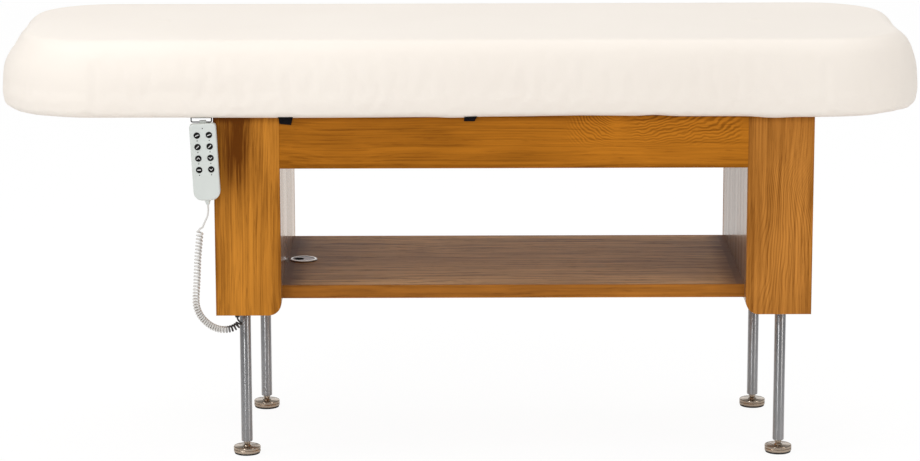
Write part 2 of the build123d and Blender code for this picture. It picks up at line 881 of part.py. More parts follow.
handset_wire_x = carcass_shift + handset_wire_box_offset
with BuildPart() as cable_harness:
    for side in sides.values():
        motor_side = screw_axis(side).X - side * motor_radius
        wire_x = from_outside(side, motor_wire_inset)
        box_end = carcass_shift + side * box_length / 2
        tube(
            [
                (motor_side, box_middle, motor_level),
                (wire_x, box_middle, motor_level),
                (wire_x, box_middle, wire_level),
                (box_end, box_middle, wire_level),
            ],
            wire_radius,
            min(wire_bend, abs(wire_x - motor_side) * wire_bend_share),
        )
    tube(
        [
            (*gland_place, board_top),
            (*gland_place, wire_level),
            (handset_wire_x, gland_y, wire_level),
            (handset_wire_x, box_front, wire_level),
        ],
        wire_radius,
        wire_bend,
    )
    tube(
        [(inlet_x, half_depth - inlet_body_depth, wire_level), (inlet_x, box_front + box_width, wire_level)],
        wire_radius,
        wire_bend,
    )
keep(cable_harness, "cable_harness")

# Handset on its wire bail

tilt = math.radians(handset_tilt)
handset_up = Vector(-math.sin(tilt), 0, math.cos(tilt))
handset_right = Vector(math.cos(tilt), 0, math.sin(tilt))
carcass_left = from_outside(sides["left"], 0)
handset_middle = Vector(
    carcass_left - handset_offset,
    -half_depth - handset_back_gap,
    mattress_underside - handset_drop,
)
flange_top = handset_thickness - handset_wall - loose_gap
board_level = flange_top - button_flange_height - button_travel - press_gap - board_thickness


def handset_plane(depth):
    """Plane across the handset, depth in front of its back; its own axes are width and height."""
    return Plane(origin=handset_middle - Vector(0, depth, 0), x_dir=handset_right, z_dir=(0, -1, 0))


def handset_outline(shrink):
    """Handset outline on the current plane, drawn in all round by shrink."""
    with BuildSketch(mode=Mode.PRIVATE) as outline:
        Rectangle(handset_width - 2 * shrink, handset_height - 2 * shrink)
        fillet(outline.vertices().group_by(Axis.Y)[-1], radius=handset_top_corner - shrink)
        fillet(outline.vertices().group_by(Axis.Y)[0], radius=handset_bottom_corner - shrink)
    return outline.sketch


button_places = {}
for row in range(4):
    level = handset_height / 2 - button_first - row * button_pitch
    button_places[f"button_{row + 1}_left"] = (-button_columns / 2, level)
    button_places[f"button_{row + 1}_right"] = (button_columns / 2, level)
light_places = [(x, y - light_drop) for x, y in button_places.values()]
light_places.append((0, handset_height / 2 - light_top_drop))
post_x, post_y = post_place
post_places = [(x, y) for x in (-post_x, post_x) for y in (-post_y, post_y)]

with BuildPart() as handset_front_shell:
    with BuildSketch(handset_plane(shell_split)):
        add(handset_outline(0))
    extrude(amount=handset_thickness - shell_split)
    fillet(handset_front_shell.faces().sort_by(Axis.Y)[0].edges(), radius=handset_edge_round)
    with BuildSketch(handset_plane(shell_split)):
        add(handset_outline(handset_wall))
    extrude(amount=handset_thickness - shell_split - handset_wall, mode=Mode.SUBTRACT)
    with BuildSketch(handset_plane(shell_split)):
        with Locations(*button_places.values()):
            Circle(button_radius + loose_gap)
        with Locations(*light_places):
            Circle(light_radius)
    extrude(amount=handset_thickness, mode=Mode.SUBTRACT)
keep(handset_front_shell, "handset_front_shell")

with BuildPart() as handset_rear_shell:
    with BuildSketch(handset_plane(0)):
        add(handset_outline(0))
    extrude(amount=shell_split)
    fillet(handset_rear_shell.faces().sort_by(Axis.Y)[-1].edges(), radius=handset_edge_round)
    with BuildSketch(handset_plane(handset_wall)):
        add(handset_outline(handset_wall))
    extrude(amount=shell_split - handset_wall, mode=Mode.SUBTRACT)
    with BuildSketch(handset_plane(handset_wall)):
        with Locations(*post_places):
            Circle(post_radius)
    extrude(amount=board_level - handset_wall)
keep(handset_rear_shell, "handset_rear_shell")

with BuildPart() as handset_board:
    with BuildSketch(handset_plane(board_level)):
        add(handset_outline(handset_wall + board_gap))
    extrude(amount=board_thickness)
keep(handset_board, "handset_board")

with BuildPart() as indicator_lights:
    with BuildSketch(handset_plane(board_level + board_thickness)):
        with Locations(*light_places):
            Circle(light_radius)
    extrude(amount=handset_thickness + light_stand - board_level - board_thickness)
keep(indicator_lights, "indicator_lights")

for button_name, place in button_places.items():
    with BuildPart() as button:
        with BuildSketch(handset_plane(flange_top - button_flange_height)):
            with Locations(place):
                Circle(button_radius + button_flange)
        extrude(amount=button_flange_height)
        with BuildSketch(handset_plane(flange_top)):
            with Locations(place):
                Circle(button_radius)
        extrude(amount=handset_thickness + button_stand - flange_top)
        fillet(button.faces().sort_by(Axis.Y)[0].edges(), radius=button_edge)
    keep(button, button_name)

handset_foot = handset_middle - Vector(0, shell_split, 0) - handset_up * (handset_height / 2)
relief_end = handset_foot - handset_up * relief_length
with BuildPart() as handset_strain_relief:
    with BuildSketch(Plane(origin=handset_foot, x_dir=(0, 1, 0), z_dir=-handset_up)):
        Circle(relief_base_radius)
    with BuildSketch(Plane(origin=relief_end, x_dir=(0, 1, 0), z_dir=-handset_up)):
        Circle(relief_tip_radius)
    loft()
keep(handset_strain_relief, "handset_strain_relief")

bail_left = carcass_left - bail_left_offset
bail_right = carcass_left - bail_right_offset
bail_front = -half_depth - bail_front_gap
bail_level = mattress_underside - bail_drop
bail_plate_bottom = mattress_underside - bail_plate_thickness
bail_plate_front = bail_front - bail_wire_radius - bail_plate_lip
bail_plate_width = bail_right - bail_left + 2 * bail_wire_radius
with BuildPart() as handset_hook:
    with BuildSketch(Plane.XY.offset(bail_plate_bottom)):
        with Locations(((bail_left + bail_right) / 2, bail_plate_front + bail_plate_depth / 2)):
            Rectangle(bail_plate_width, bail_plate_depth)
    extrude(amount=bail_plate_thickness)
    tube(
        [
            (bail_left, bail_front, bail_plate_bottom),
            (bail_left, bail_front, bail_level),
            (bail_right, bail_front, bail_level),
            (bail_right, bail_front, bail_plate_bottom),
        ],
        bail_wire_radius,
        bail_bend,
    )
keep(handset_hook, "handset_hook")

# The hanger is a bent strip on the handset's back that reaches over the bail's bar
bail_top = bail_level + bail_wire_radius
hanger_under = (bail_top - handset_middle.Z) / math.cos(tilt) + hanger_width / 2 * math.tan(tilt) + loose_gap
hanger_over = hanger_under + hanger_thickness
hanger_foot_level = handset_height / 2 - hanger_foot
with BuildPart() as handset_hanger:
    hanger_side = Plane(origin=handset_middle, x_dir=(0, 1, 0), z_dir=handset_right)
    with BuildSketch(hanger_side):
        with BuildLine():
            Polyline(
                (0, hanger_foot_level),
                (hanger_thickness, hanger_foot_level),
                (hanger_thickness, hanger_under),
                (hanger_reach - hanger_thickness, hanger_under),
                (hanger_reach - hanger_thickness, hanger_over - hanger_lip),
                (hanger_reach, hanger_over - hanger_lip),
                (hanger_reach, hanger_over),
                (0, hanger_over),
                close=True,
            )
        make_face()
    extrude(amount=hanger_width / 2, both=True)
keep(handset_hanger, "handset_hanger")

# Handset cord: a short straight lead, then curls down to a gland under the left upright

gland_bottom = carcass_underside - gland_flange_height - gland_drop
with BuildPart() as cord_gland:
    with BuildSketch(Plane.XY.offset(carcass_underside - gland_flange_height)):
        with Locations(gland_place):
            Circle(gland_radius)
    extrude(amount=gland_flange_height)
    with BuildSketch(Plane.XY.offset(carcass_underside)):
        with Locations(gland_place):
            Circle(gland_stem_radius)
    extrude(amount=bottom_board_thickness)
    with BuildSketch(Plane.XY.offset(carcass_underside - gland_flange_height)):
        with Locations(gland_place):
            Circle(gland_stem_radius)
    with BuildSketch(Plane.XY.offset(gland_bottom)):
        with Locations(gland_place):
            Circle(gland_tip_radius)
    loft()
keep(cord_gland, "cord_gland")

lead_start = relief_end - handset_up * lead_drop
lead_points = [relief_end, lead_start] + [lead_start + Vector(*offset) for offset in lead_offsets]
lead_end = lead_points[-1]
gland_entry = Vector(*gland_place, gland_bottom)
curl_route = [lead_end - Vector(curl_radius, 0, 0)]
for index, offset in enumerate(curl_offsets, 1):
    on_line = lead_end + (gland_entry - lead_end) * (index / (len(curl_offsets) + 1))
    curl_route.append(on_line + Vector(*offset))
curl_route.append(gland_entry + Vector(curl_radius, 0, -curl_rise))
curl_route.append(gland_entry + Vector(curl_radius, 0, 0))


def corner_radii(points):
    """Arc radius at each corner of a route: a share of the shorter run over the tangent of half the turn."""
    radii = []
    for before, here, after in zip(points, points[1:], points[2:]):
        arriving = here - before
        leaving = after - here
        turn = math.radians(arriving.get_angle(leaving))
        radii.append(cord_bend_share * min(arriving.length, leaving.length) / math.tan(turn / 2))
    return radii


lead_radii = corner_radii(lead_points)
print("lead bend radii", [round(radius, 1) for radius in lead_radii])
with BuildPart() as handset_lead:
    tube(lead_points, cord_radius, lead_radii)
keep(handset_lead, "handset_lead")


def spline_point(points, share):
    """Point at a share of the clamped quadratic B-spline with these control points.

    Two blends along neighbouring legs of the control polygon, then one blend between the two.
    """
    spans = len(points) - 2
    place = share * spans
    first = min(int(place), spans - 1)
    before = max(first - 1, 0)
    after = min(first + 2, spans)
    one = points[first] + (points[first + 1] - points[first]) * ((place - before) / (first + 1 - before))
    two = points[first + 1] + (points[first + 2] - points[first + 1]) * ((place - first) / (after - first))
    return one + (two - one) * (place - first)


def curl_frames(points, first_normal, steps=900):
    """Length, place, normal and binormal along the route; each normal is the last one carried on."""
    places = [spline_point(points, step / steps) for step in range(steps + 1)]
    frames = []
    length = 0
    normal = first_normal
    for index, place in enumerate(places):
        nearest = min(index, steps - 1)
        tangent = (places[nearest + 1] - places[nearest]).normalized()
        normal = (normal - tangent * normal.dot(tangent)).normalized()
        if index:
            length += (place - places[index - 1]).length
        frames.append((length, place, normal, tangent.cross(normal)))
    return frames


def curl_pitch(share):
    """Pitch at a share of the coil: open at the top, even while it hangs, closer where it lies, open again."""
    opening = max(0, 1 - share / opening_over_share)
    lying = min(1, max(0, (share - lying_from_share) / lying_over_share))
    rising = min(1, max(0, (share - rising_from_share) / rising_over_share))
    hanging = curl_pitch_hanging + curl_loose_extra * opening
    return hanging + (curl_pitch_lying - hanging) * lying + curl_rise_extra * rising


def curl_points(frames, straight):
    """Places and directions at even half turns of the coil, from a quarter turn in to a quarter turn short."""
    total = frames[-1][0]
    start = straight + curl_lead_in
    finish = total - straight - curl_lead_in
    turns = [0]
    for (low, *_), (high, *_) in zip(frames, frames[1:]):
        inside = max(0, min(high, finish) - max(low, start))
        turns.append(turns[-1] + inside / curl_pitch((low + high) / 2 / total))
    last_normal, last_binormal = frames[-1][2:]
    end_turn = math.atan2(-last_binormal.X, -last_normal.X) / (2 * math.pi)
    whole = round(turns[-1] - end_turn + 0.5)
    wanted = whole + end_turn - 0.5
    scale = wanted / turns[-1]
    halves = round(wanted * 2)

    def at_turn(count):
        index = next((i for i, value in enumerate(turns) if value * scale >= count), len(turns) - 1)
        index = max(index, 1)
        low, high = turns[index - 1] * scale, turns[index] * scale
        blend = (count - low) / (high - low) if high > low else 0
        _, place_a, normal_a, binormal_a = frames[index - 1]
        _, place_b, normal_b, binormal_b = frames[index]
        place = place_a + (place_b - place_a) * blend
        normal = normal_a + (normal_b - normal_a) * blend
        binormal = binormal_a + (binormal_b - binormal_a) * blend
        angle = 2 * math.pi * (count + 0.25)
        return place + (normal * math.cos(angle) + binormal * math.sin(angle)) * curl_radius

    first = turn_step / 10
    last = wanted - turn_step / 10
    found = []
    for half in range(halves + 1):
        count = wanted * half / halves
        low = max(count - turn_step, first)
        high = min(count + turn_step, last)
        way = (at_turn(high) - at_turn(low)).normalized()
        found.append((at_turn(min(max(count, first), wanted)), way))
    return wanted, found


def biarc(start, start_way, finish, finish_way):
    """Two arcs that leave start along start_way and reach finish along finish_way."""
    gap = finish - start
    both = start_way + finish_way
    spread = 2 * (1 - start_way.dot(finish_way))
    across = gap.dot(both)
    reach = (-across + math.sqrt(across * across + spread * gap.dot(gap))) / spread
    one = start + start_way * reach
    two = finish - finish_way * reach
    middle = (one + two) * 0.5
    TangentArc(start, middle, tangent=start_way)
    TangentArc(middle, finish, tangent=(two - one).normalized())


lead_way = (lead_end - lead_points[-2]).normalized()
straight = 2 * cord_radius
turn_count, knots = curl_points(curl_frames(curl_route, Vector(1, 0, 0)), straight)
with BuildLine() as curl_line:
    knots.insert(0, (lead_end + lead_way * straight, lead_way))
    knots.append((gland_entry - Vector(0, 0, straight), Vector(0, 0, 1)))
    Line(lead_end, knots[0][0])
    for (start, start_way), (finish, finish_way) in zip(knots, knots[1:]):
        biarc(start, start_way, finish, finish_way)
    Line(knots[-1][0], gland_entry)


def least_gap(edges, radius, samples=6):
    """Least gap between stretches of the cord that are over half a curl apart, measured on points."""
    points = [edge.position_at(step / samples) for edge in edges for step in range(samples)]
    places = [(point.X, point.Y, point.Z) for point in points]
    runs = [0]
    for here, there in zip(places, places[1:]):
        runs.append(runs[-1] + math.dist(here, there))
    near = math.inf
    for index, here in enumerate(places):
        first = bisect_left(runs, runs[index] + math.pi * curl_radius)
        near = min([near] + [math.dist(here, there) for there in places[first:]])
    return near - 2 * radius


curl_edges = curl_line.line.edges()
tightest = min(edge.radius for edge in curl_edges.filter_by(GeomType.CIRCLE))
print("curls", round(turn_count, 2), "arcs", len(curl_edges), "tightest arc", round(tightest, 2))
print("least gap of the curls", round(least_gap(curl_edges, cord_radius), 2))
with BuildPart() as curly_cord:
    with BuildSketch(Plane(origin=lead_end, z_dir=lead_way)):
        Circle(cord_radius)
    sweep(path=curl_line.line)
keep(curly_cord, "curly_cord")
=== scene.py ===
"""Looks of a height-adjustable beauty treatment bed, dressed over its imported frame.

Metres, +Z up, the front faces -Y and the origin lies on the floor under the middle of the mattress. Every new
piece is made where it stands, in the frame's own coordinates, and rides on a body of the frame by name.
"""

import functools
import json
import math

import bmesh
import bpy
import numpy as np
from mathutils import Matrix, Vector


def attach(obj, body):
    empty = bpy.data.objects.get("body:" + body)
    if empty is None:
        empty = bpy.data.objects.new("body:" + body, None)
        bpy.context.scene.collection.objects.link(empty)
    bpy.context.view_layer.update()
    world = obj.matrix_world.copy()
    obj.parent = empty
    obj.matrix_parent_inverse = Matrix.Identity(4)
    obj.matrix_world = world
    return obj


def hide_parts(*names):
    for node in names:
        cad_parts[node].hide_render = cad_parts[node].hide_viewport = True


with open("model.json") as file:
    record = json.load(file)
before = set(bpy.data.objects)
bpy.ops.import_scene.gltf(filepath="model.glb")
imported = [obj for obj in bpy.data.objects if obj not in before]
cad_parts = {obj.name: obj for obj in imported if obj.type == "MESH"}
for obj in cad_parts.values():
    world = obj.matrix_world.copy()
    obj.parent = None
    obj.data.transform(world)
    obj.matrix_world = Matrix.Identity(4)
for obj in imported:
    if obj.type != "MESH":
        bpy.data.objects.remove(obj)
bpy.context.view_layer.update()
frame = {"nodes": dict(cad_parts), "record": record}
nodes = frame["nodes"]
scene = bpy.context.scene
rng = np.random.default_rng(7)


# Places that several parts share

underside = 0.784
carcass_left, carcass_right = -0.536, 0.768
carcass_bottom = 0.342
inner_left, inner_right = -0.393, 0.625
front, rear = -0.321, 0.321
grommet_x = -0.358


# Camera, at the photograph's viewpoint

photo_width = 920
focal_pixels = 3248
sensor_width = 36
camera_place = Vector((-0.011, -7.26, 1.938))
camera_yaw, camera_pitch, camera_roll = (math.radians(angle) for angle in (-0.08, 11.46, -0.13))

camera_data = bpy.data.cameras.new("photo_camera")
camera = bpy.data.objects.new("photo_camera", camera_data)
scene.collection.objects.link(camera)
scene.camera = camera
camera_data.sensor_width = sensor_width
camera_data.lens = focal_pixels / photo_width * sensor_width
camera_data.clip_end = 100
camera.matrix_world = (
    Matrix.Translation(camera_place)
    @ Matrix.Rotation(camera_yaw, 4, "Z")
    @ Matrix.Rotation(math.pi / 2 - camera_pitch, 4, "X")
    @ Matrix.Rotation(camera_roll, 4, "Z")
)
scene.view_settings.view_transform = "Standard"


# Meshes from arrays


def quads(rows, columns, start=0):
    """Quads between neighbouring rings of points: (r, c), (r, c + 1), (r + 1, c + 1), (r + 1, c)."""
    row = np.arange(rows - 1)[:, None] * columns + start
    column = np.arange(columns)[None, :]
    beside = (column + 1) % columns
    corners = (row + column, row + beside, row + columns + beside, row + columns + column)
    return np.stack(corners, -1).reshape(-1, 4).tolist()


def rectangle(left, right, bottom, top):
    """Corners of a rectangle, anticlockwise from the bottom left."""
    return np.array([(left, bottom), (right, bottom), (right, top), (left, top)], float)


def at_height(plan, height):
    """Points of a plan, in one loop or several, with the same third coordinate."""
    return np.concatenate([plan, np.full(plan.shape[:-1] + (1,), height)], -1)


def points_of(mesh):
    """All points of a mesh as an array."""
    points = np.empty(len(mesh.vertices) * 3)
    mesh.vertices.foreach_get("co", points)
    return points.reshape(-1, 3)


def evaluated_points(made):
    """All points of an object as Blender evaluates it."""
    mesh = bpy.data.meshes.new_from_object(made.evaluated_get(bpy.context.evaluated_depsgraph_get()))
    points = points_of(mesh)
    bpy.data.meshes.remove(mesh)
    return points


def mesh_piece(name, points, faces, material, body=None, replaced=(), smooth=35.0, welded=False):
    """Mesh object at the origin from points in metres; edges sharper than smooth degrees stay crisp."""
    mesh = bpy.data.meshes.new(name)
    mesh.from_pydata(np.asarray(points, float).reshape(-1, 3).tolist(), [], faces)
    mesh.validate()
    mesh.update()
    made = bpy.data.objects.new(name, mesh)
    scene.collection.objects.link(made)
    if welded:
        weld(made)
    mesh = made.data
    mesh.polygons.foreach_set("use_smooth", np.ones(len(mesh.polygons), bool))
    if smooth < 180:
        mesh.set_sharp_from_angle(angle=math.radians(smooth))
    if material:
        mesh.materials.append(material)
    if body:
        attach(made, body)
    if replaced:
        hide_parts(*replaced)
    return made


def weld(made, distance=1e-5):
    """Merges points that coincide, drops what collapses and turns all faces outwards."""
    work = bmesh.new()
    work.from_mesh(made.data)
    bmesh.ops.remove_doubles(work, verts=work.verts, dist=distance)
    bmesh.ops.dissolve_degenerate(work, edges=work.edges, dist=distance / 10)
    bmesh.ops.recalc_face_normals(work, faces=work.faces)
    work.to_mesh(made.data)
    work.free()


def lathe(profile, centre, steps=64):
    """Points and faces of a turned solid: (r, z) carried round as (r cos a, r sin a, z)."""
    profile = np.asarray(profile, float)
    angle = np.arange(steps) * 2 * math.pi / steps
    ring = np.stack([np.cos(angle), np.sin(angle)], -1)
    points = np.empty((len(profile), steps, 3))
    points[:, :, :2] = profile[:, 0, None, None] * ring + np.asarray(centre)[:2]
    points[:, :, 2] = profile[:, 1, None]
    return points, quads(len(profile), steps)


def arris_loops(thickness, arris, steps=4):
    """Inset and depth of each loop of a board: a quarter circle at both faces, inset = a (1 - sin t)."""
    turn = np.linspace(0, math.pi / 2, steps)
    inset = arris * (1 - np.sin(turn))
    depth = arris * (1 - np.cos(turn))
    return np.concatenate([inset, inset[::-1]]), np.concatenate([depth, (thickness - depth)[::-1]])


def drawn_in(outline, insets):
    """Outline moved inwards by each inset: a corner slides by (n1 + n2) / (1 + n1.n2) of its edge normals."""
    edges = np.roll(outline, -1, 0) - outline
    normals = np.stack([-edges[:, 1], edges[:, 0]], -1)
    normals /= np.linalg.norm(normals, axis=1, keepdims=True)
    before = np.roll(normals, 1, 0)
    mitre = (normals + before) / (1 + (normals * before).sum(1, keepdims=True))
    return outline[None] + mitre[None] * np.asarray(insets)[:, None, None]


def board(outline, origin, across, up, thickness, arris=0.0009):
    """Points and faces of a board: its outline, in the across and up directions, carried along across x up."""
    across, up = np.asarray(across, float), np.asarray(up, float)
    through = np.cross(across, up)
    insets, depths = arris_loops(thickness, arris)
    loops = drawn_in(np.asarray(outline, float), insets)
    points = np.asarray(origin, float) + loops[..., :1] * across + loops[..., 1:] * up
    points = points - depths[:, None, None] * through
    count = len(outline)
    last = (len(insets) - 1) * count
    faces = [face[::-1] for face in quads(len(insets), count)]
    return points, faces + [list(range(count)), list(range(last, last + count))[::-1]]


def rounded(corners, radii, steps=8):
    """Outline through corners, each turned by an arc of its own radius: centre + r (cos t, sin t)."""
    corners = np.asarray(corners, float)
    found = []
    for before, here, after, radius in zip(np.roll(corners, 1, 0), corners, np.roll(corners, -1, 0), radii):
        if not radius:
            found.append(here[None])
            continue
        back = (before - here) / np.linalg.norm(before - here)
        on = (after - here) / np.linalg.norm(after - here)
        half = math.acos(float(np.clip(back @ on, -1, 1))) / 2
        first, last = here + back * radius / math.tan(half), here + on * radius / math.tan(half)
        centre = here + (back + on) / np.linalg.norm(back + on) * radius / math.sin(half)
        share = np.linspace(0, 1, steps + 1)[:, None]
        arc = first + (last - first) * share - centre
        swing = math.pi - 2 * half
        weight_first = np.sin((1 - share) * swing) / math.sin(swing)
        weight_last = np.sin(share * swing) / math.sin(swing)
        arc = weight_first * (first - centre) + weight_last * (last - centre)
        found.append(centre + arc)
    return np.concatenate(found)


# Shader nodes


def feed(socket, value):
    """Gives a socket a plain value, or links it to the output that feeds it."""
    if isinstance(value, bpy.types.NodeSocket):
        socket.id_data.links.new(value, socket)
    else:
        socket.default_value = value


def shader_node(tree, kind, inputs=None, **settings):
    """One node; settings are its properties, and inputs are socket values or the outputs that feed them."""
    made = tree.nodes.new(kind)
    for key, value in settings.items():
        setattr(made, key, value)
    for key, value in (inputs or {}).items():
        feed(made.inputs[key], value)
    return made


def fed_node(kind, inputs, **settings):
    """One node, in the tree of the outputs that feed it."""
    tree = next(value.id_data for value in inputs.values() if isinstance(value, bpy.types.NodeSocket))
    return shader_node(tree, kind, inputs, **settings)


def calc(operation, *values, clamp=False):
    """Result of one Math node."""
    return fed_node("ShaderNodeMath", dict(enumerate(values)), operation=operation, use_clamp=clamp).outputs[0]


def times(*values):
    """Product of values."""
    return functools.reduce(lambda first, second: calc("MULTIPLY", first, second), values)


def plus(*values):
    """Sum of values."""
    return functools.reduce(lambda first, second: calc("ADD", first, second), values)


def less(first, second):
    """First value less the second."""
    return calc("SUBTRACT", first, second)


def between(value, low, high, out_low=0.0, out_high=1.0):
    """Value carried smoothly from low..high to out_low..out_high."""
    inputs = {"Value": value, "From Min": low, "From Max": high, "To Min": out_low, "To Max": out_high}
    return fed_node("ShaderNodeMapRange", inputs, interpolation_type="SMOOTHSTEP").outputs[0]


def band(value, start, full, fading, end):
    """1 where a value lies between full and fading, and 0 before start and after end."""
    return times(between(value, start, full), between(value, end, fading))


def axes(vector):
    """X, Y and Z of a vector."""
    return fed_node("ShaderNodeSeparateXYZ", {0: vector}).outputs


def moved(operation, *vectors):
    """Result of one Vector Math node."""
    return fed_node("ShaderNodeVectorMath", dict(enumerate(vectors)), operation=operation).outputs[0]


def noise(vector, scale=1.0, detail=3.0, roughness=0.5):
    """Value of a noise field; a scale of three numbers stretches it along the axes."""
    if isinstance(scale, tuple):
        vector, scale = moved("MULTIPLY", vector, scale), 1.0
    inputs = {"Vector": vector, "Scale": scale, "Detail": detail, "Roughness": roughness}
    return fed_node("ShaderNodeTexNoise", inputs).outputs[0]


def mixed(share, first, second):
    """Two colours mixed by a share; they are sockets 6 and 7 of the node, and their mix is its output 2."""
    return fed_node("ShaderNodeMix", {"Factor": share, 6: first, 7: second}, data_type="RGBA").outputs[2]


def new_group(name, inputs, outputs):
    """Empty node group with named sockets; returns its tree, what it is given and the sockets of its results."""
    tree = bpy.data.node_groups.new(name, "ShaderNodeTree")
    kinds = {float: "NodeSocketFloat", tuple: "NodeSocketColor", Vector: "NodeSocketVector"}
    for label, value in inputs.items():
        made = tree.interface.new_socket(label, in_out="INPUT", socket_type=kinds[type(value)])
        made.default_value = value
    for label, value in outputs.items():
        tree.interface.new_socket(label, in_out="OUTPUT", socket_type=kinds[type(value)])
    return tree, tree.nodes.new("NodeGroupInput").outputs, tree.nodes.new("NodeGroupOutput").inputs


def placed(group, inputs):
    """Outputs of a group placed in a material."""
    return fed_node("ShaderNodeGroup", inputs, node_tree=group).outputs


def colour(red, green, blue):
    """Linear colour from the 0 to 255 numbers that a screen shows."""
    shares = [value / 255 for value in (red, green, blue)]
    return tuple(s / 12.92 if s <= 0.04045 else ((s + 0.055) / 1.055) ** 2.4 for s in shares) + (1.0,)


def dimmed(base, share):
    """Linear colour with each channel lowered by a share."""
    return tuple(channel * (1 - share) for channel in base[:3]) + (1.0,)


def node_of(tree, kind):
    """First node of a kind in a tree."""
    return next(item for item in tree.nodes if item.type == kind)


def material_start(name):
    """New material, its shader and the object coordinates."""
    made = bpy.data.materials.new(name)
    made.use_nodes = True
    shader = node_of(made.node_tree, "BSDF_PRINCIPLED")
    return made, shader, shader_node(made.node_tree, "ShaderNodeTexCoord").outputs["Object"]


def finish_shader(shader, base, roughness, height=None, depth=0.0002, **sockets):
    """Feeds the shader: base colour, roughness, a bump of this depth in metres, and plain values."""
    feed(shader.inputs["Base Color"], base)
    feed(shader.inputs["Roughness"], roughness)
    for key, value in sockets.items():
        shader.inputs[key.replace("_", " ")].default_value = value
    if height is not None:
        bump = fed_node("ShaderNodeBump", {"Height": height, "Distance": depth})
        feed(shader.inputs["Normal"], bump.outputs[0])


# Shared effects: wood, upholstery grain, drawn metal, moulded plastic


def make_wood_group():
    """Wood along local X: ring bands bent by a slow warp, thin dark lines, fibres, clouds and short dark pores."""
    tree, given, result = new_group(
        "wood_grain",
        {
            "Vector": Vector((0, 0, 0)),
            "Pale": colour(205, 140, 62),
            "Dark": colour(140, 82, 24),
            "Pore": colour(84, 44, 10),
            "Rings": 1.0,
            "Fibres": 1.0,
            "Pores": 1.0,
            "Clouds": 1.0,
            "Lines": 0.0,
            "Figure": 0.0,
        },
        {"Color": (0, 0, 0, 1), "Height": 0.0, "Roughness": 0.0},
    )
    place = given["Vector"]
    slow = noise(place, (1.7, 5.0, 5.0), 2.0)
    bend = fed_node("ShaderNodeCombineXYZ", {0: 0.0, 1: slow, 2: slow}).outputs[0]
    warped = moved("MULTIPLY_ADD", bend, (0, 0.045, 0.045), place)
    broad = noise(warped, (1.6, 34.0, 34.0), 2.0)
    lines = noise(warped, (1.9, 125.0, 125.0), 4.0, 0.62)
    thin = between(noise(warped, (1.4, 230.0, 230.0), 1.0, 0.4), 0.52, 0.66)
    fibres = noise(warped, (7.0, 420.0, 420.0), 3.0, 0.6)
    pores = noise(warped, (26.0, 620.0, 620.0), 2.0)
    cloud = noise(place, (2.6, 8.0, 8.0), 3.0, 0.6)
    middle_tone = 0.58
    shade = times(less(between(lines, 0.36, 0.60), 0.5), times(given["Rings"], 0.55))
    shade = plus(shade, times(less(broad, 0.5), times(given["Rings"], 0.8)))
    shade = plus(shade, times(less(fibres, 0.5), given["Fibres"]))
    shade = plus(shade, times(less(cloud, 0.5), given["Clouds"]))
    shade = less(shade, times(thin, given["Lines"]))
    shade = calc("ADD", plus(shade, middle_tone), given["Figure"], clamp=True)
    dashes = between(pores, 0.55, 0.70)
    open_grain = calc("MULTIPLY", dashes, between(lines, 0.58, 0.42), clamp=True)
    pore_share = calc("MULTIPLY", open_grain, given["Pores"], clamp=True)
    base = mixed(shade, given["Dark"], given["Pale"])
    feed(result["Color"], mixed(pore_share, base, given["Pore"]))
    feed(result["Height"], less(times(fibres, 0.3), pore_share))
    feed(result["Roughness"], between(pore_share, 0.0, 1.0, 0.0, 0.2))
    return tree


def make_upholstery_group():
    """Fine upholstery grain: small cells with soft creases between them, and a slow tone change."""
    inputs = {"Vector": Vector((0, 0, 0)), "Cell": 700.0}
    tree, given, result = new_group("upholstery_grain", inputs, {"Height": 0.0, "Tone": 0.0})
    place = given["Vector"]
    inputs = {"Vector": place, "Scale": given["Cell"]}
    cells = fed_node("ShaderNodeTexVoronoi", inputs, feature="DISTANCE_TO_EDGE").outputs[0]
    creases = between(cells, 0.0, 0.12)
    feed(result["Height"], plus(creases, times(noise(place, 1500.0, 2.0), 0.5)))
    feed(result["Tone"], noise(place, 2.2))
    return tree


def make_drawn_group():
    """Drawn or turned metal: fine lines round local Z and a slow change of gloss."""
    inputs = {"Vector": Vector((0, 0, 0)), "Lines": 1.0}
    tree, given, result = new_group("drawn_metal", inputs, {"Height": 0.0, "Tone": 0.0, "Gloss": 0.0})
    place = given["Vector"]
    lines = noise(place, (9.0, 9.0, 1400.0), 3.0, 0.6)
    cloud = noise(place, 14.0)
    feed(result["Height"], times(lines, given["Lines"]))
    feed(result["Tone"], cloud)
    feed(result["Gloss"], plus(times(lines, 0.1), times(cloud, 0.08)))
    return tree


def make_moulded_group():
    """Moulded plastic: an even spark-eroded texture and faint flow marks."""
    inputs = {"Vector": Vector((0, 0, 0)), "Grain": 1800.0}
    tree, given, result = new_group("moulded", inputs, {"Height": 0.0, "Tone": 0.0})
    feed(result["Height"], noise(given["Vector"], given["Grain"], 2.0))
    feed(result["Tone"], noise(given["Vector"], (30.0, 30.0, 8.0)))
    return tree


wood_group = make_wood_group()
upholstery_group = make_upholstery_group()
drawn_group = make_drawn_group()
moulded_group = make_moulded_group()


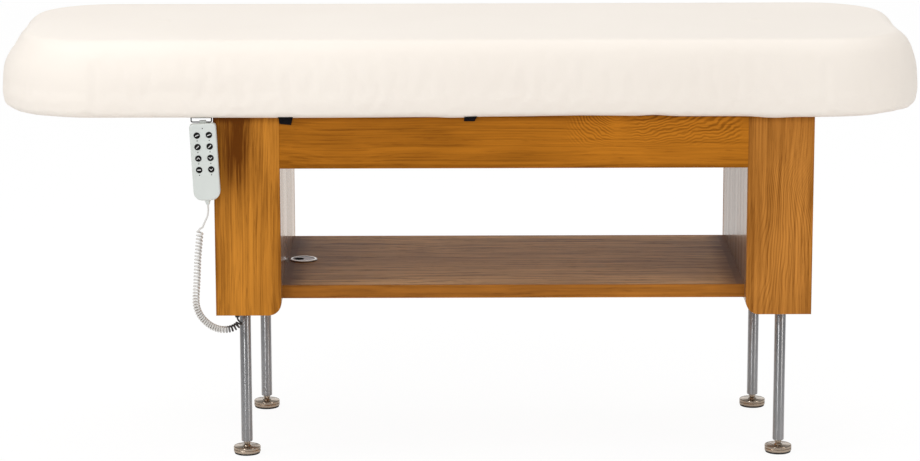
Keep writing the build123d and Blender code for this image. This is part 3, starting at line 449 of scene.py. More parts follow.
def wood(
    name,
    turn,
    pale,
    dark,
    pore,
    roughness,
    amounts=(0.5, 0.5, 0.35, 1.1, 0.1),
    shift=(0, 0, 0),
    figure=None,
    coat=None,
    relief=0.0001,
    **sockets,
):
    """Wood whose grain runs along local X after the turn; amounts of rings, fibres, pores, clouds and thin lines."""
    made, shader, place = material_start(name)
    inputs = {"Vector": place, "Rotation": [math.radians(angle) for angle in turn], "Location": shift}
    along = fed_node("ShaderNodeMapping", inputs).outputs[0]
    values = {"Vector": along, "Pale": pale, "Dark": dark, "Pore": pore}
    values.update(zip(("Rings", "Fibres", "Pores", "Clouds", "Lines"), amounts))
    if figure:
        values["Figure"] = figure(place)
    out = placed(wood_group, values)
    rough = plus(out["Roughness"], roughness)
    finish_shader(shader, out["Color"], rough, out["Height"], relief, **sockets)
    if coat:
        feed(shader.inputs["Coat Weight"], coat(along))
    return made


# Figure of each board: a change of shade by place, from its x, y and z in metres


def painted_shadow_under_cushion(height):
    """Painted shadow: a darker band where the boards meet the cushion's underside, for the shade of its overhang."""
    return between(height, underside - 0.020, underside - 0.001, 0.0, -0.26)


def plain_top(place):
    """Plain board, with only the painted shadow band under the cushion."""
    return painted_shadow_under_cushion(axes(place)["Z"])


def cathedral(place):
    """Flat-sawn figure on the apron's right: rings r = sqrt((k (x - heart x))^2 + (z + bend - heart z)^2)."""
    at = axes(place)
    heart_x, heart_z, rings_a_metre = 0.339, 0.824, 170.0
    wander = noise(place, (16.0, 16.0, 26.0), 2.0)
    ripple = noise(place, (60.0, 60.0, 60.0), 1.0)
    bend = calc("MULTIPLY_ADD", wander, 0.030, times(ripple, 0.007))
    off = less(at["X"], heart_x)
    depth = times(off, between(off, -0.02, 0.06, 0.85, 0.30))
    level = less(plus(at["Z"], bend), heart_z)
    radius = calc("SQRT", plus(times(depth, depth), times(level, level)))
    line = band(calc("FRACT", times(radius, rings_a_metre)), 0.25, 0.6, 0.8, 1.0)
    from_heart = calc("ABSOLUTE", less(off, 0.012))
    clear = calc("MULTIPLY_ADD", between(from_heart, 0.012, 0.035), 0.8, 0.2)
    reach = times(band(at["X"], 0.22, 0.27, 0.600, 0.615), clear, between(at["Z"], 0.712, 0.740))
    lines = times(less(0.42, line), times(reach, 0.62))
    paler = times(between(at["X"], 0.16, 0.36), 0.16)
    near = between(calc("ABSOLUTE", off), 0.03, 0.0)
    spot = times(near, between(at["Z"], 0.725, 0.755))
    paler = calc("MULTIPLY_ADD", spot, 0.14, paler)
    # A darker strip along the apron's lower edge, and the painted shadow band under the cushion.
    edge = plus(between(at["Z"], 0.680, 0.676, 0.0, -0.24), painted_shadow_under_cushion(at["Z"]))
    return plus(lines, paler, edge)


def stain_and_painted_shade(place):
    """Lipping, a brown stain in vertical streaks down the outer half of the left upright's top, and painted shade
    there.
    """
    at = axes(place)
    stain_x = -0.486
    streaks = noise(place, (110.0, 110.0, 3.0), 3.0, 0.6)
    ragged = calc("MULTIPLY_ADD", streaks, 0.22, at["Z"])
    core = calc("ABSOLUTE", less(at["X"], stain_x))
    core = times(between(core, 0.036, 0.002), between(ragged, 0.66, 0.80))
    core = times(core, between(streaks, 0.34, 0.60, 0.25, 1.0))
    broad = times(between(at["X"], -0.42, -0.49), between(ragged, 0.68, 0.86))
    rim = times(between(at["X"], -0.514, -0.532), between(at["Z"], 0.38, 0.50))
    # The broad darkening of the top is partly the stain and partly painted shade under the cushion's left overhang.
    shade = calc("MULTIPLY_ADD", core, -0.24, times(broad, -0.46))
    # Darker low down the outer edge, then the painted shadow band under the cushion.
    shade = calc("MULTIPLY_ADD", rim, -0.18, plus(shade, painted_shadow_under_cushion(at["Z"])))
    return plus(shade, lipping(at, -0.05))


def slanted(place):
    """Lipping, and fine dark lines that lean a little and open downwards from one place over the right upright."""
    at = axes(place)
    fan_x, fan_z, lines_across = 0.640, 0.86, 52.0
    off = less(at["X"], fan_x)
    fall = less(fan_z, at["Z"])
    wander = noise(place, (12.0, 12.0, 4.0), 2.0)
    across = plus(calc("DIVIDE", off, fall), times(wander, 0.16))
    lean = calc("MULTIPLY_ADD", at["Z"], -0.45, across)
    line = band(calc("FRACT", times(lean, lines_across)), 0.45, 0.8, 0.86, 1.0)
    patches = between(noise(place, 9.0, 2.0), 0.38, 0.56)
    reach = times(between(off, 0.006, 0.03), patches)
    shade = times(less(0.25, line), calc("MULTIPLY_ADD", reach, 0.30, 0.06))
    # A darker strip near the upright's outer edge, and the painted shadow band under the cushion.
    shade = plus(shade, between(off, 0.095, 0.124, 0.0, -0.16), painted_shadow_under_cushion(at["Z"]))
    return plus(shade, lipping(at))


def from_middle(at):
    """Distance from the middle of the shelf space, to the left or to the right."""
    return calc("ABSOLUTE", less(at["X"], (inner_left + inner_right) / 2))


def lipping(at, depth=-0.25):
    """Narrow darker strip along the inner edge of each upright, parted from the face by a fine line of this depth."""
    from_edge = less(from_middle(at), (inner_right - inner_left) / 2)
    line = band(from_edge, 0.0132, 0.0144, 0.0156, 0.0168)
    strip = between(from_edge, 0.0156, 0.0144)
    return calc("MULTIPLY_ADD", line, depth, times(strip, -0.14))


def painted_corner_shade(place):
    """Shelf tone, with painted shade over the last few centimetres before each inner panel, where the shelf meets
    them.
    """
    away = from_middle(axes(place))
    return plus(between(away, 0.450, 0.507, 0.0, -0.55), between(away, 0.490, 0.500, 0.0, -0.6))


def lacquer_bands(along):
    """Coat weight of the inner panels, in streaks that follow the grain, and thinner on the right panel."""
    wide = noise(along, (1.0, 26.0, 26.0), 2.0)
    fine = noise(along, (2.0, 240.0, 240.0), 2.0)
    streaks = between(calc("MULTIPLY_ADD", fine, 0.4, wide), 0.50, 0.90, 0.62, 1.0)
    leftwards = axes(along)["Z"]
    return times(streaks, between(leftwards, -0.3, 0.0, 0.78, 1.0))


def metal(name, base, roughness, lines=1.0, depth=0.00002, facets=0.0):
    """Bare metal with fine lines round Z; facets tips the normal up them by t (0.75 + 0.25 sin(2 pi 700 z))."""
    made, shader, place = material_start(name)
    out = placed(drawn_group, {"Vector": place, "Lines": lines})
    tone = mixed(out["Tone"], dimmed(base, 0.16), base)
    rough = plus(out["Gloss"], roughness)
    finish_shader(shader, tone, rough, None if facets else out["Height"], depth, Metallic=1.0)
    if facets:
        wave = calc("SINE", times(axes(place)["Z"], 2 * math.pi * 700))
        wave = calc("MULTIPLY_ADD", wave, 0.25 * facets, 0.75 * facets)
        tip = fed_node("ShaderNodeCombineXYZ", {2: wave}).outputs[0]
        normal = shader_node(shader.id_data, "ShaderNodeNewGeometry").outputs["Normal"]
        tipped = moved("NORMALIZE", moved("ADD", normal, tip))
        feed(shader.inputs["Normal"], tipped)
    return made


def plastic(name, base, roughness, grain=1800.0, depth=0.00004, **sockets):
    """Moulded plastic or rubber."""
    made, shader, place = material_start(name)
    out = placed(moulded_group, {"Vector": place, "Grain": grain})
    tone = mixed(out["Tone"], dimmed(base, 0.10), base)
    rough = between(out["Tone"], 0.0, 1.0, roughness - 0.04, roughness + 0.04)
    finish_shader(shader, tone, rough, out["Height"], depth, **sockets)
    return made


def upholstery():
    """Cream coated fabric: fine grain, slightly warmer and cooler patches."""
    made, shader, place = material_start("cream_upholstery")
    out = placed(upholstery_group, {"Vector": place, "Cell": 620.0})
    tone = mixed(out["Tone"], colour(239, 230, 220), colour(246, 239, 230))
    rough = between(out["Tone"], 0.0, 1.0, 0.44, 0.52)
    finish_shader(shader, tone, rough, out["Height"], 0.00006, Specular_IOR_Level=0.4)
    return made


def grommet_finish():
    """Grommet ring: nickel on the rim's top; the bore, the seat and the rim's foot are near-black, as painted shade in
    the hole and painted shadow round the rim's foot.
    """
    made, shader, place = material_start("grommet_ring")
    at = axes(moved("ADD", place, (-grommet_x, 0.0, 0.0)))
    radius = calc("SQRT", plus(times(at["X"], at["X"]), times(at["Y"], at["Y"])))
    bright = times(between(radius, 0.0250, 0.0256), between(at["Z"], 0.4002, 0.4008))
    # Near-black everywhere but the rim's top: painted shade in the bore and seat, and painted shadow round the foot.
    tone = mixed(bright, (0.008, 0.008, 0.008, 1), (0.94, 0.90, 0.87, 1))
    finish_shader(shader, tone, 0.3, Specular_IOR_Level=0.1)
    feed(shader.inputs["Metallic"], bright)
    return made


def cover_finish():
    """Grommet cover: pale satin on top, and black on its edge and round its cut-out, as painted shade in the opening.
    """
    made, shader, place = material_start("grommet_cover")
    top = max(vertex.co.z for vertex in nodes["grommet_cover"].data.vertices)
    pale = between(axes(place)["Z"], top - 0.0004, top - 0.0001)
    finish_shader(shader, mixed(pale, (0.006, 0.006, 0.006, 1), (0.64, 0.58, 0.64, 1)), 0.35)
    return made


def cord_with_painted_shade():
    """Cord jacket: pale, and darker with painted shade over its last curls before the gland, low beside the upright.
    """
    made, shader, place = material_start("handset_cord_jacket")
    at = axes(place)
    # Painted shade over the last curls, low down by the gland.
    painted_shade_share = times(between(at["X"], -0.524, -0.503), between(at["Z"], 0.40, 0.36))
    finish_shader(shader, mixed(painted_shade_share, cord_white, colour(58, 55, 54)), 0.38)
    return made


def palette(pale, dark, pore):
    """Three tones of a wood from the 0 to 255 numbers that a screen shows."""
    return {"pale": colour(*pale), "dark": colour(*dark), "pore": colour(*pore)}


honey = palette((208, 138, 60), (122, 70, 12), (92, 46, 4))
honey_left = palette((220, 145, 52), (98, 50, 0), (84, 42, 0))
honey_deep = palette((191, 118, 28), (120, 68, 3), (94, 44, 0))
edging_oak = palette((180, 114, 42), (112, 66, 20), (84, 42, 10))
shaded_oak = palette((226, 172, 112), (128, 84, 46), (92, 56, 28))
walnut = palette((146, 100, 64), (90, 60, 36), (50, 30, 16))
birch = palette((214, 184, 140), (182, 146, 100), (140, 104, 66))
beech = palette((216, 176, 130), (190, 148, 102), (150, 108, 70))
cord_white = colour(214, 212, 208)

level_grain, upright_grain = (0, 0, 0), (0, 90, 0)
satin = {"roughness": 0.5, "Specular_IOR_Level": 0.07}
oak_left = wood(
    "oak_left", upright_grain, **honey_left, **satin, figure=stain_and_painted_shade, amounts=(0.4, 0.5, 0.35, 0.9, 0.16)
)
oak_upright = wood("oak_upright", upright_grain, **honey, **satin, figure=slanted, shift=(0.4, 0.2, 0))
oak_side = wood("oak_side", upright_grain, **honey, **satin, figure=plain_top, shift=(0.2, 0.5, 0.3))
oak_apron = wood(
    "oak_apron",
    level_grain,
    **honey_deep,
    **satin,
    figure=cathedral,
    amounts=(0.35, 0.6, 0.35, 1.2, 0.24),
    shift=(0.1, 0, 0.03),
)
oak_edging = wood("oak_edging", level_grain, **edging_oak, **satin, shift=(0.3, 0.1, 0.4))
veneer_shelf = wood(
    "veneer_shelf",
    level_grain,
    **shaded_oak,
    roughness=0.46,
    relief=0.0002,
    amounts=(0.6, 1.0, 1.0, 0.5, 0.40),
    figure=painted_corner_shade,
    Specular_IOR_Level=0.07,
)
veneer_upright = wood(
    "veneer_upright",
    upright_grain,
    **walnut,
    roughness=0.34,
    relief=0.00008,
    coat=lacquer_bands,
    Coat_Roughness=0.12,
    Coat_Tint=(1.0, 0.93, 0.86, 1.0),
    Sheen_Weight=0.05,
    Sheen_Roughness=0.3,
    Sheen_Tint=(1.0, 0.72, 0.45, 1.0),
)
cream = upholstery()
tube_metal = metal("tube_steel", (0.50, 0.50, 0.51, 1), 0.14, facets=0.42)
foot_metal = metal("foot_nickel", (0.62, 0.52, 0.42, 1), 0.14, depth=0.00008)
black_rubber = plastic("black_rubber", (0.018, 0.017, 0.016, 1), 0.6, grain=1200.0)
black_plastic = plastic("black_plastic", (0.02, 0.02, 0.02, 1), 0.42)

slot_materials = {
    "oak": oak_upright,
    "dark_veneer": veneer_shelf,
    "plywood": wood("birch_plywood", level_grain, **birch, roughness=0.6),
    "beech": wood("beech", level_grain, **beech, roughness=0.55),
    "webbing": plastic(
        "black_webbing", (0.006, 0.005, 0.007, 1), 0.85, grain=900.0, depth=0.0002, Specular_IOR_Level=0.12
    ),
    "rubber": black_rubber,
    "grommet_metal": grommet_finish(),
    "leg_metal": tube_metal,
    "foot_metal": foot_metal,
    "guide_plastic": plastic("guide_plastic", (0.014, 0.014, 0.014, 1), 0.5),
    "cast_metal": metal("cast_aluminium", (0.55, 0.55, 0.56, 1), 0.42, lines=0.2),
    "motor_housing": plastic("motor_enamel", (0.02, 0.02, 0.022, 1), 0.35),
    "zinc_steel": metal("zinc_steel", (0.62, 0.62, 0.60, 1), 0.3),
    "bronze": metal("bronze", (0.60, 0.42, 0.20, 1), 0.3),
    "black_plastic": black_plastic,
    "cable_black": plastic("cable_jacket", (0.015, 0.015, 0.015, 1), 0.4),
    "dark_wire": plastic("wire_enamel", (0.02, 0.02, 0.02, 1), 0.3),
    "handset_plastic": plastic("handset_plastic", colour(214, 219, 215), 0.42, grain=2400.0),
    "button_plastic": plastic("button_black", (0.004, 0.004, 0.004, 1), 0.4, Specular_IOR_Level=0.2),
    "circuit_board": plastic("circuit_green", (0.02, 0.12, 0.05, 1), 0.35),
    "light_pipe": plastic("smoked_lens", (0.02, 0.022, 0.02, 1), 0.15),
    "cord_plastic": plastic("cord_plastic", cord_white, 0.36),
}
for entry in frame["record"]["subparts"]:
    dressed = nodes[entry["node"]]
    dressed.data.materials.clear()
    dressed.data.materials.append(slot_materials.get(entry["material_slot"], black_plastic))
own_materials = {
    "front_apron": oak_apron,
    "rear_apron": oak_apron,
    "shelf_edgings": oak_edging,
    "outer_panels": oak_side,
    "inner_panels": veneer_upright,
    "bottom_boards": veneer_upright,
    "handset_hook": metal("bail_wire", (0.035, 0.032, 0.030, 1), 0.3),
    "grommet_cover": cover_finish(),
}
for name, own in own_materials.items():
    nodes[name].data.materials[0] = own


# Handset cord: one smooth route, then the curls wound round it


def smooth_curve(name, points, bevel=0.0, resolution=12):
    """Open NURBS curve of order 3 through the ends of its control points."""
    data = bpy.data.curves.new(name, "CURVE")
    data.dimensions = "3D"
    spline = data.splines.new("NURBS")
    spline.points.add(len(points) - 1)
    spline.points.foreach_set("co", np.column_stack([points, np.ones(len(points))]).ravel())
    spline.order_u = 3
    spline.use_endpoint_u = True
    spline.resolution_u = resolution
    data.resolution_u = resolution
    data.bevel_depth = bevel
    data.use_fill_caps = bevel > 0
    made = bpy.data.objects.new(name, data)
    scene.collection.objects.link(made)
    return made


cord_radius = 0.002
curl_radius = 0.006
tilt = math.radians(2.9)
handset_up = np.array([-math.sin(tilt), 0, math.cos(tilt)])
handset_right = np.array([math.cos(tilt), 0, math.sin(tilt)])
handset_middle = np.array([-0.553, -0.3292, 0.6882])
relief_end = handset_middle - np.array([0, 0.009, 0]) - handset_up * 0.09425
lead_start = relief_end - handset_up * 0.022
lead_end = lead_start + np.array([-0.0125, 0, -0.0261])
lead_route = np.array([relief_end, lead_start, lead_start + np.array([-0.0084, 0, -0.0161]), lead_end])
gland_entry = np.array([-0.492, -0.285, 0.330])
curl_offsets = np.array([
    (-12.7, -3.8, -6.6), (-20.1, -7.6, -15.1), (-27.5, -11.4, -25.7), (-33.7, -15.0, -36.3), (-40.0, -17.8, -46.9),
    (-47.0, -19.6, -57.4), (-53.6, -18.4, -68.0), (-52.0, -15.2, -76.6), (-43.9, -12.0, -80.1),
    (-30.7, -8.8, -79.7), (-15.5, -4.6, -70.8), (-1.3, -0.4, -54.4), (6.8, 2.3, -31.9),
]) / 1000
share = (np.arange(len(curl_offsets)) + 1)[:, None] / (len(curl_offsets) + 1)
curl_route = np.concatenate([
    [lead_end - np.array([curl_radius, 0, 0])],
    lead_end + (gland_entry - lead_end) * share + curl_offsets,
    [gland_entry + np.array([curl_radius, 0, -0.008]), gland_entry + np.array([curl_radius, 0, 0])],
])


def curl_control_points(route, steps_a_turn=12):
    """Curls round a route: place + R (normal cos a + binormal sin a), where the angle grows with length over pitch.

    The pitch is widest at the handset, closes up past the middle of the route and opens again before the gland.
    """
    gaps = np.linalg.norm(np.diff(route, axis=0), axis=1)
    length = np.concatenate([[0], np.cumsum(gaps)])
    ways = np.diff(route, axis=0) / gaps[:, None]
    ways = np.concatenate([ways, ways[-1:]])
    normal = np.array([1.0, 0, 0])
    normals = []
    for way in ways:
        normal = normal - way * (normal @ way)
        normal /= np.linalg.norm(normal)
        normals.append(normal)
    normals = np.array(normals)
    binormals = np.cross(ways, normals)
    total = length[-1]
    middle = (length[1:] + length[:-1]) / 2 / total
    hanging = 0.0076 + 0.0012 * np.clip(1 - middle / 0.125, 0, None)
    pitch = hanging + (0.0057 - hanging) * np.clip((middle - 0.5) / 0.167, 0, 1)
    pitch += 0.0013 * np.clip((middle - 0.8) / 0.125, 0, 1)
    bare_end = 0.011
    start, finish = bare_end, total - bare_end
    inside = np.clip(np.minimum(length[1:], finish) - np.maximum(length[:-1], start), 0, None)
    turns = np.concatenate([[0], np.cumsum(inside / pitch)])
    end_turn = math.atan2(-binormals[-1][0], -normals[-1][0]) / (2 * math.pi)
    wanted = round(turns[-1] - end_turn + 0.5) + end_turn - 0.5
    turns *= wanted / turns[-1]
    lead_in = 0.03
    count = np.linspace(lead_in, wanted - lead_in, round(wanted * steps_a_turn))
    moving = np.concatenate([[True], np.diff(turns) > 0])
    at = np.interp(count, turns[moving], length[moving])
    place, across, beside = (
        np.stack([np.interp(at, length, part[:, axis]) for axis in range(3)], -1)
        for part in (route, normals, binormals)
    )
    angle = 2 * math.pi * (count + 0.25)[:, None]
    outside = curl_radius / math.cos(math.pi / steps_a_turn)
    return place + (across * np.cos(angle) + beside * np.sin(angle)) * outside


route_curve = smooth_curve("curl_route", curl_route, resolution=64)
bpy.context.view_layer.update()
curls = curl_control_points(evaluated_points(route_curve))
bpy.data.objects.remove(route_curve)
lead_way = (lead_route[-1] - lead_route[-2]) / np.linalg.norm(lead_route[-1] - lead_route[-2])
straight = np.array([0, 0, 2 * cord_radius])
cord_line = np.concatenate(
    [lead_route, [lead_end + lead_way * 0.003], curls, [gland_entry - straight, gland_entry]]
)
handset_cord = smooth_curve("handset_cord", cord_line, cord_radius, 4)
handset_cord.data.bevel_resolution = 3
handset_cord.data.materials.append(cord_with_painted_shade())
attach(handset_cord, "carcass")
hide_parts("handset_lead", "curly_cord")


# Mattress: a crowned cushion, simulated as a cover over foam, then its hem and gathers

half_length, half_width = 1.011, 0.354
corner_radius = 0.212
foam_top = 0.166
board_inset = 0.050
board_recess = 0.018
hem_round = 0.020
shoulder_run, shoulder_rise = 0.056, 0.106
bulge = 0.0024
crown = 0.0009
side_draw, end_draw = 0.004, 0.0038
side_steps, corner_steps, end_steps = 130, 30, 20


def plan_loop(inset):
    """One closed outline of the cushion: four quarter circles and four sides, each drawn in as 1 - s squared."""
    radius = corner_radius - inset
    run, rise = half_length - corner_radius, half_width - corner_radius
    turn = (np.arange(corner_steps) / corner_steps) * math.pi / 2
    quarter = np.stack([np.cos(turn), np.sin(turn)], -1) * radius
    along = 1 - 2 * (np.arange(side_steps) / side_steps)
    side = np.stack([along * run, rise + radius - side_draw * (1 - along**2)], -1)
    across = 1 - 2 * (np.arange(end_steps) / end_steps)
    end = np.stack([run + radius - end_draw * (1 - across**2), -across * rise], -1)
    first = quarter + (run, rise)
    second = np.stack([-quarter[:, 1], quarter[:, 0]], -1) + (-run, rise)
    return np.concatenate([first, side, second, -end, -first, -side, -second, end])


def cushion_rows():
    """Inset and height of each loop: recess, underside rim, hem arc, wall swelling as a sine, shoulder arc, crown."""
    hem = np.linspace(0, math.pi / 2, 7)
    shoulder = np.linspace(0, math.pi / 2, 13)
    wall_top = foam_top - crown - shoulder_rise
    wall = np.linspace(0, 1, 7)[1:-1]
    rows = [(board_inset, board_recess), (board_inset, 0.009), (board_inset, 0.0), (0.042, 0.0), (0.033, 0.0)]
    rows += [(bulge + hem_round * (1 - math.sin(t)), hem_round * (1 - math.cos(t))) for t in hem]
    rows += [(bulge * (1 - math.sin(math.pi * s)), hem_round + (wall_top - hem_round) * s) for s in wall]
    rows += [(bulge + shoulder_run * (1 - math.cos(t)), wall_top + shoulder_rise * math.sin(t)) for t in shoulder]
    rise = np.linspace(0, 1, 12)[1:]
    rows += [(bulge + shoulder_run + 0.13 * s, foam_top - crown * (1 - s) ** 2) for s in rise]
    return rows


def capped(loop, height, steps, inwards):
    """Loops that close a plan on its long middle line: c + (p - c) s, as s goes from 1 to 0."""
    reach = half_length - half_width
    middle = np.stack([np.clip(loop[:, 0], -reach, reach), np.zeros(len(loop))], -1)
    shares = np.linspace(1, 0, steps + 1)[1:]
    if not inwards:
        shares = shares[::-1]
    return at_height(middle[None] + (loop - middle)[None] * shares[:, None, None], height)


def cushion_surface():
    """Whole closed cushion as loops of points, from the recess under the foam to the top's middle line."""
    loops = [at_height(plan_loop(inset), underside + height) for inset, height in cushion_rows()]
    bottom = capped(loops[0][:, :2], underside + board_recess, 4, False)
    top = capped(loops[-1][:, :2], underside + foam_top, 11, True)
    return np.concatenate([bottom, np.array(loops), top])


surface = cushion_surface()
cushion = mesh_piece("cushion", surface, quads(*surface.shape[:2]), cream, smooth=180, welded=True)


def write_points(mesh, points):
    """Puts an array of points back into a mesh."""
    mesh.vertices.foreach_set("co", points.astype(np.float32).ravel())
    mesh.update()


def folds_only(start, movement, levels=20):
    """Movement less its mean outward and upward share at each height, so that the folds stay and the swelling goes."""
    reach = half_length - half_width
    away = np.stack([start[:, 0] - np.clip(start[:, 0], -reach, reach), start[:, 1]], -1)
    away /= np.maximum(np.linalg.norm(away, axis=1, keepdims=True), 1e-9)
    height = start[:, 2] - underside
    level = np.clip((height / foam_top * levels).astype(int), 0, levels)
    counts = np.maximum(np.bincount(level, minlength=levels + 1), 1)
    places = np.bincount(level, height, levels + 1) / counts
    outward = np.bincount(level, (movement[:, :2] * away).sum(1), levels + 1) / counts
    upward = np.bincount(level, movement[:, 2], levels + 1) / counts
    kept = movement.copy()
    kept[:, :2] -= away * np.interp(height, places, outward)[:, None]
    kept[:, 2] -= np.interp(height, places, upward)
    return kept


def settle_cover(made, held, frames, cap):
    """Cloth under light inner pressure, held by weights; no point ends further than the cap from where it was."""
    start = points_of(made.data)
    group = made.vertex_groups.new(name="held")
    for weight in np.unique(np.round(held, 2)):
        group.add(np.flatnonzero(np.round(held, 2) == weight).tolist(), float(weight), "REPLACE")
    cloth = made.modifiers.new("cover", "CLOTH")
    settings = cloth.settings
    settings.quality = 5
    settings.mass = 0.4
    settings.tension_stiffness = settings.compression_stiffness = 20
    settings.shear_stiffness = 10
    settings.bending_stiffness = 2
    settings.use_pressure = True
    settings.uniform_pressure_force = 4
    settings.shrink_min = -0.01
    settings.vertex_group_mass = "held"
    settings.pin_stiffness = 1.0
    settings.effector_weights.gravity = 0
    cloth.collision_settings.use_self_collision = False
    cloth.point_cache.frame_end = frames
    for step in range(1, frames + 1):
        scene.frame_set(step)
    settled = evaluated_points(made)
    made.modifiers.clear()
    made.vertex_groups.clear()
    scene.frame_set(1)
    kept = folds_only(start, settled - start)
    far = np.linalg.norm(kept, axis=1, keepdims=True)
    write_points(made.data, start + kept * np.minimum(1, cap / np.maximum(far, 1e-9)))


def eased(share):
    """3 s^2 - 2 s^3 between 0 and 1."""
    share = np.clip(share, 0, 1)
    return share * share * (3 - 2 * share)


# Bumps of the hem: place and width along the side in metres, and rise in millimetres
front_bumps = [
    (-0.30, 0.26, -1.8),
    (-0.012, 0.035, -2.2),
    (0.27, 0.11, 1.9),
    (0.422, 0.028, 2.6),
    (0.675, 0.035, -3.2),
    (0.76, 0.09, -2.0),
    (-0.95, 0.08, 2.0),
    (0.96, 0.09, -3.5),
]
back_bumps = [(-0.62, 0.08, 1.4), (-0.25, 0.06, -1.8), (0.12, 0.09, 1.5), (0.48, 0.05, -2.0), (0.70, 0.07, 1.2)]
end_bumps = [(-0.12, 0.05, 1.2), (0.08, 0.06, -1.4)]


def hem_waves(points):
    """Rise of the hem: on each side a sum of bumps a exp(-((x - c) / w) ** 2), faded out where the side ends."""
    x, y = points[:, 0], points[:, 1]
    wave = np.zeros(len(points))
    at_front, at_back = eased((-y - 0.08) / 0.22), eased((y - 0.08) / 0.22)
    at_ends = eased((np.abs(x) - 0.86) / 0.1)
    for bumps, along, mask in ((front_bumps, x, at_front), (back_bumps, x, at_back), (end_bumps, y, at_ends)):
        for centre, width, rise in bumps:
            wave += mask * rise * 0.001 * np.exp(-(((along - centre) / width) ** 2))
    return wave


above = points_of(cushion.data)[:, 2] - underside
held = np.where(above < 0.004, 1.0, np.where(above > 0.150, 0.9, 0.35))
settle_cover(cushion, held, 20, 0.006)


def dress_cushion():
    """Front shoulder of the left end eased in, hem waves low on the sides, small gathers fanned round the corners."""
    points = points_of(cushion.data)
    above = points[:, 2] - underside
    ease, ease_height, ease_spread = 0.0118, 0.143, 0.025
    nearness = eased((-points[:, 0] - 0.78) / 0.20) * eased((-points[:, 1] - 0.027) / 0.121)
    points[:, 0] += ease * nearness * np.exp(-(((above - ease_height) / ease_spread) ** 2))
    low = np.clip(1 - above / 0.055, 0, 1) ** 2
    rim = np.clip((np.abs(points[:, :2]) - (half_length - 0.052, half_width - 0.052)) / 0.02, 0, 1).max(1)
    points[:, 2] += hem_waves(points) * low * rim
    slack = np.exp(-(((points[:, 0] + 0.60) / 0.20) ** 2) - ((above - 0.045) / 0.024) ** 2)
    points[:, 1] += slack * np.clip(-points[:, 1] / half_width, 0, 1) * 0.0035
    corner = np.abs(points[:, :2]) - (half_length - corner_radius, half_width - corner_radius)
    turned = np.arctan2(np.clip(corner[:, 1], 0, None), np.clip(corner[:, 0], 0, None))
    within = (corner > 0).all(1)
    quadrant = (points[:, 0] > 0) * 2 + (points[:, 1] > 0)
    phases = rng.uniform(0, 2 * math.pi, (4, 3))
    folds = np.zeros(len(points))
    for index, count in enumerate((19, 27, 38)):
        folds += np.sin(turned * count + phases[quadrant, index]) / (index + 1.6)
    fade = within * np.sin(2 * np.clip(turned, 0, math.pi / 2)) * np.clip(1 - above / 0.04, 0, 1) ** 1.5
    outwards = corner / np.maximum(np.linalg.norm(corner, axis=1, keepdims=True), 1e-9)
    outwards *= np.sign(points[:, :2])
    radial = np.linalg.norm(corner, axis=1)
    outer = np.clip((radial - 0.165) / 0.03, 0, 1)
    points[:, :2] += outwards * (folds * fade * outer * 0.0008)[:, None]
    write_points(cushion.data, points)


dress_cushion()
smoother = cushion.modifiers.new("smoother", "SUBSURF")
smoother.levels = smoother.render_levels = 1
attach(cushion, "carcass")
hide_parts("mattress")


# Carcass boards with eased arrises

panel = 0.018
lower_corner = 0.028
apron_bottom = 0.669

across, up = (1, 0, 0), (0, 0, 1)
for side, low, high, radii, oak in (
    ("left", carcass_left, inner_left, (0, lower_corner, 0, 0), oak_left),
    ("right", inner_right, carcass_right, (lower_corner, 0, 0, 0), oak_upright),
):
    outline = rounded(rectangle(low, high, carcass_bottom, underside), radii)
    for end, face, replaced in (("front", front, f"{side}_front_panel"), ("rear", rear - panel, "rear_panels")):
        points, faces = board(outline, (0, face, 0), across, up, panel)
        mesh_piece(f"{side}_{end}_board", points, faces, oak, "carcass", [replaced])
outline = rectangle(inner_left, inner_right, apron_bottom, underside)
points, faces = board(outline, (0, front, 0), across, up, panel)
mesh_piece("apron_board", points, faces, oak_apron, "carcass", ["front_apron"])


# Staples that hold the cover to the base board, where the cushion overhangs the carcass


def staple_points(length=0.011, width=0.0012, height=0.0005, pitch=0.036):
    """Corners of small bars laid along the plan at one pitch: c + u t + v n, on the underside of the board."""
    loop = plan_loop(board_inset + 0.008)
    loop = np.concatenate([loop, loop[:1]])
    run = np.concatenate([[0], np.cumsum(np.linalg.norm(np.diff(loop, axis=0), axis=1))])
    at = np.arange(0, run[-1], pitch)
    middle = np.stack([np.interp(at, run, loop[:, axis]) for axis in (0, 1)], -1)
    ahead = np.stack([np.interp((at + 0.002) % run[-1], run, loop[:, axis]) for axis in (0, 1)], -1)
    along = (ahead - middle) / np.linalg.norm(ahead - middle, axis=1, keepdims=True)
    free = (middle[:, 0] < carcass_left - 0.064) | (middle[:, 0] > carcass_right + 0.017)
    middle, along = middle[free], along[free]
    side = np.stack([-along[:, 1], along[:, 0]], -1)
    signs = ((-1, -1), (1, -1), (1, 1), (-1, 1))
    ring = np.stack([middle + along * a * length / 2 + side * b * width / 2 for a, b in signs], 1)
    return np.stack([at_height(ring, underside - height), at_height(ring, underside + 0.0002)], 1)


bars = staple_points()
faces = []
for index in range(len(bars)):
    start = index * 8
    faces += quads(2, 4, start) + [list(range(start, start + 4))[::-1], list(range(start + 4, start + 8))]
mesh_piece("staples", bars, faces, slot_materials["zinc_steel"], "carcass", smooth=20)


# Webbing tabs: a strip that leaves the cushion's underside and hangs down the carcass, cut a little askew


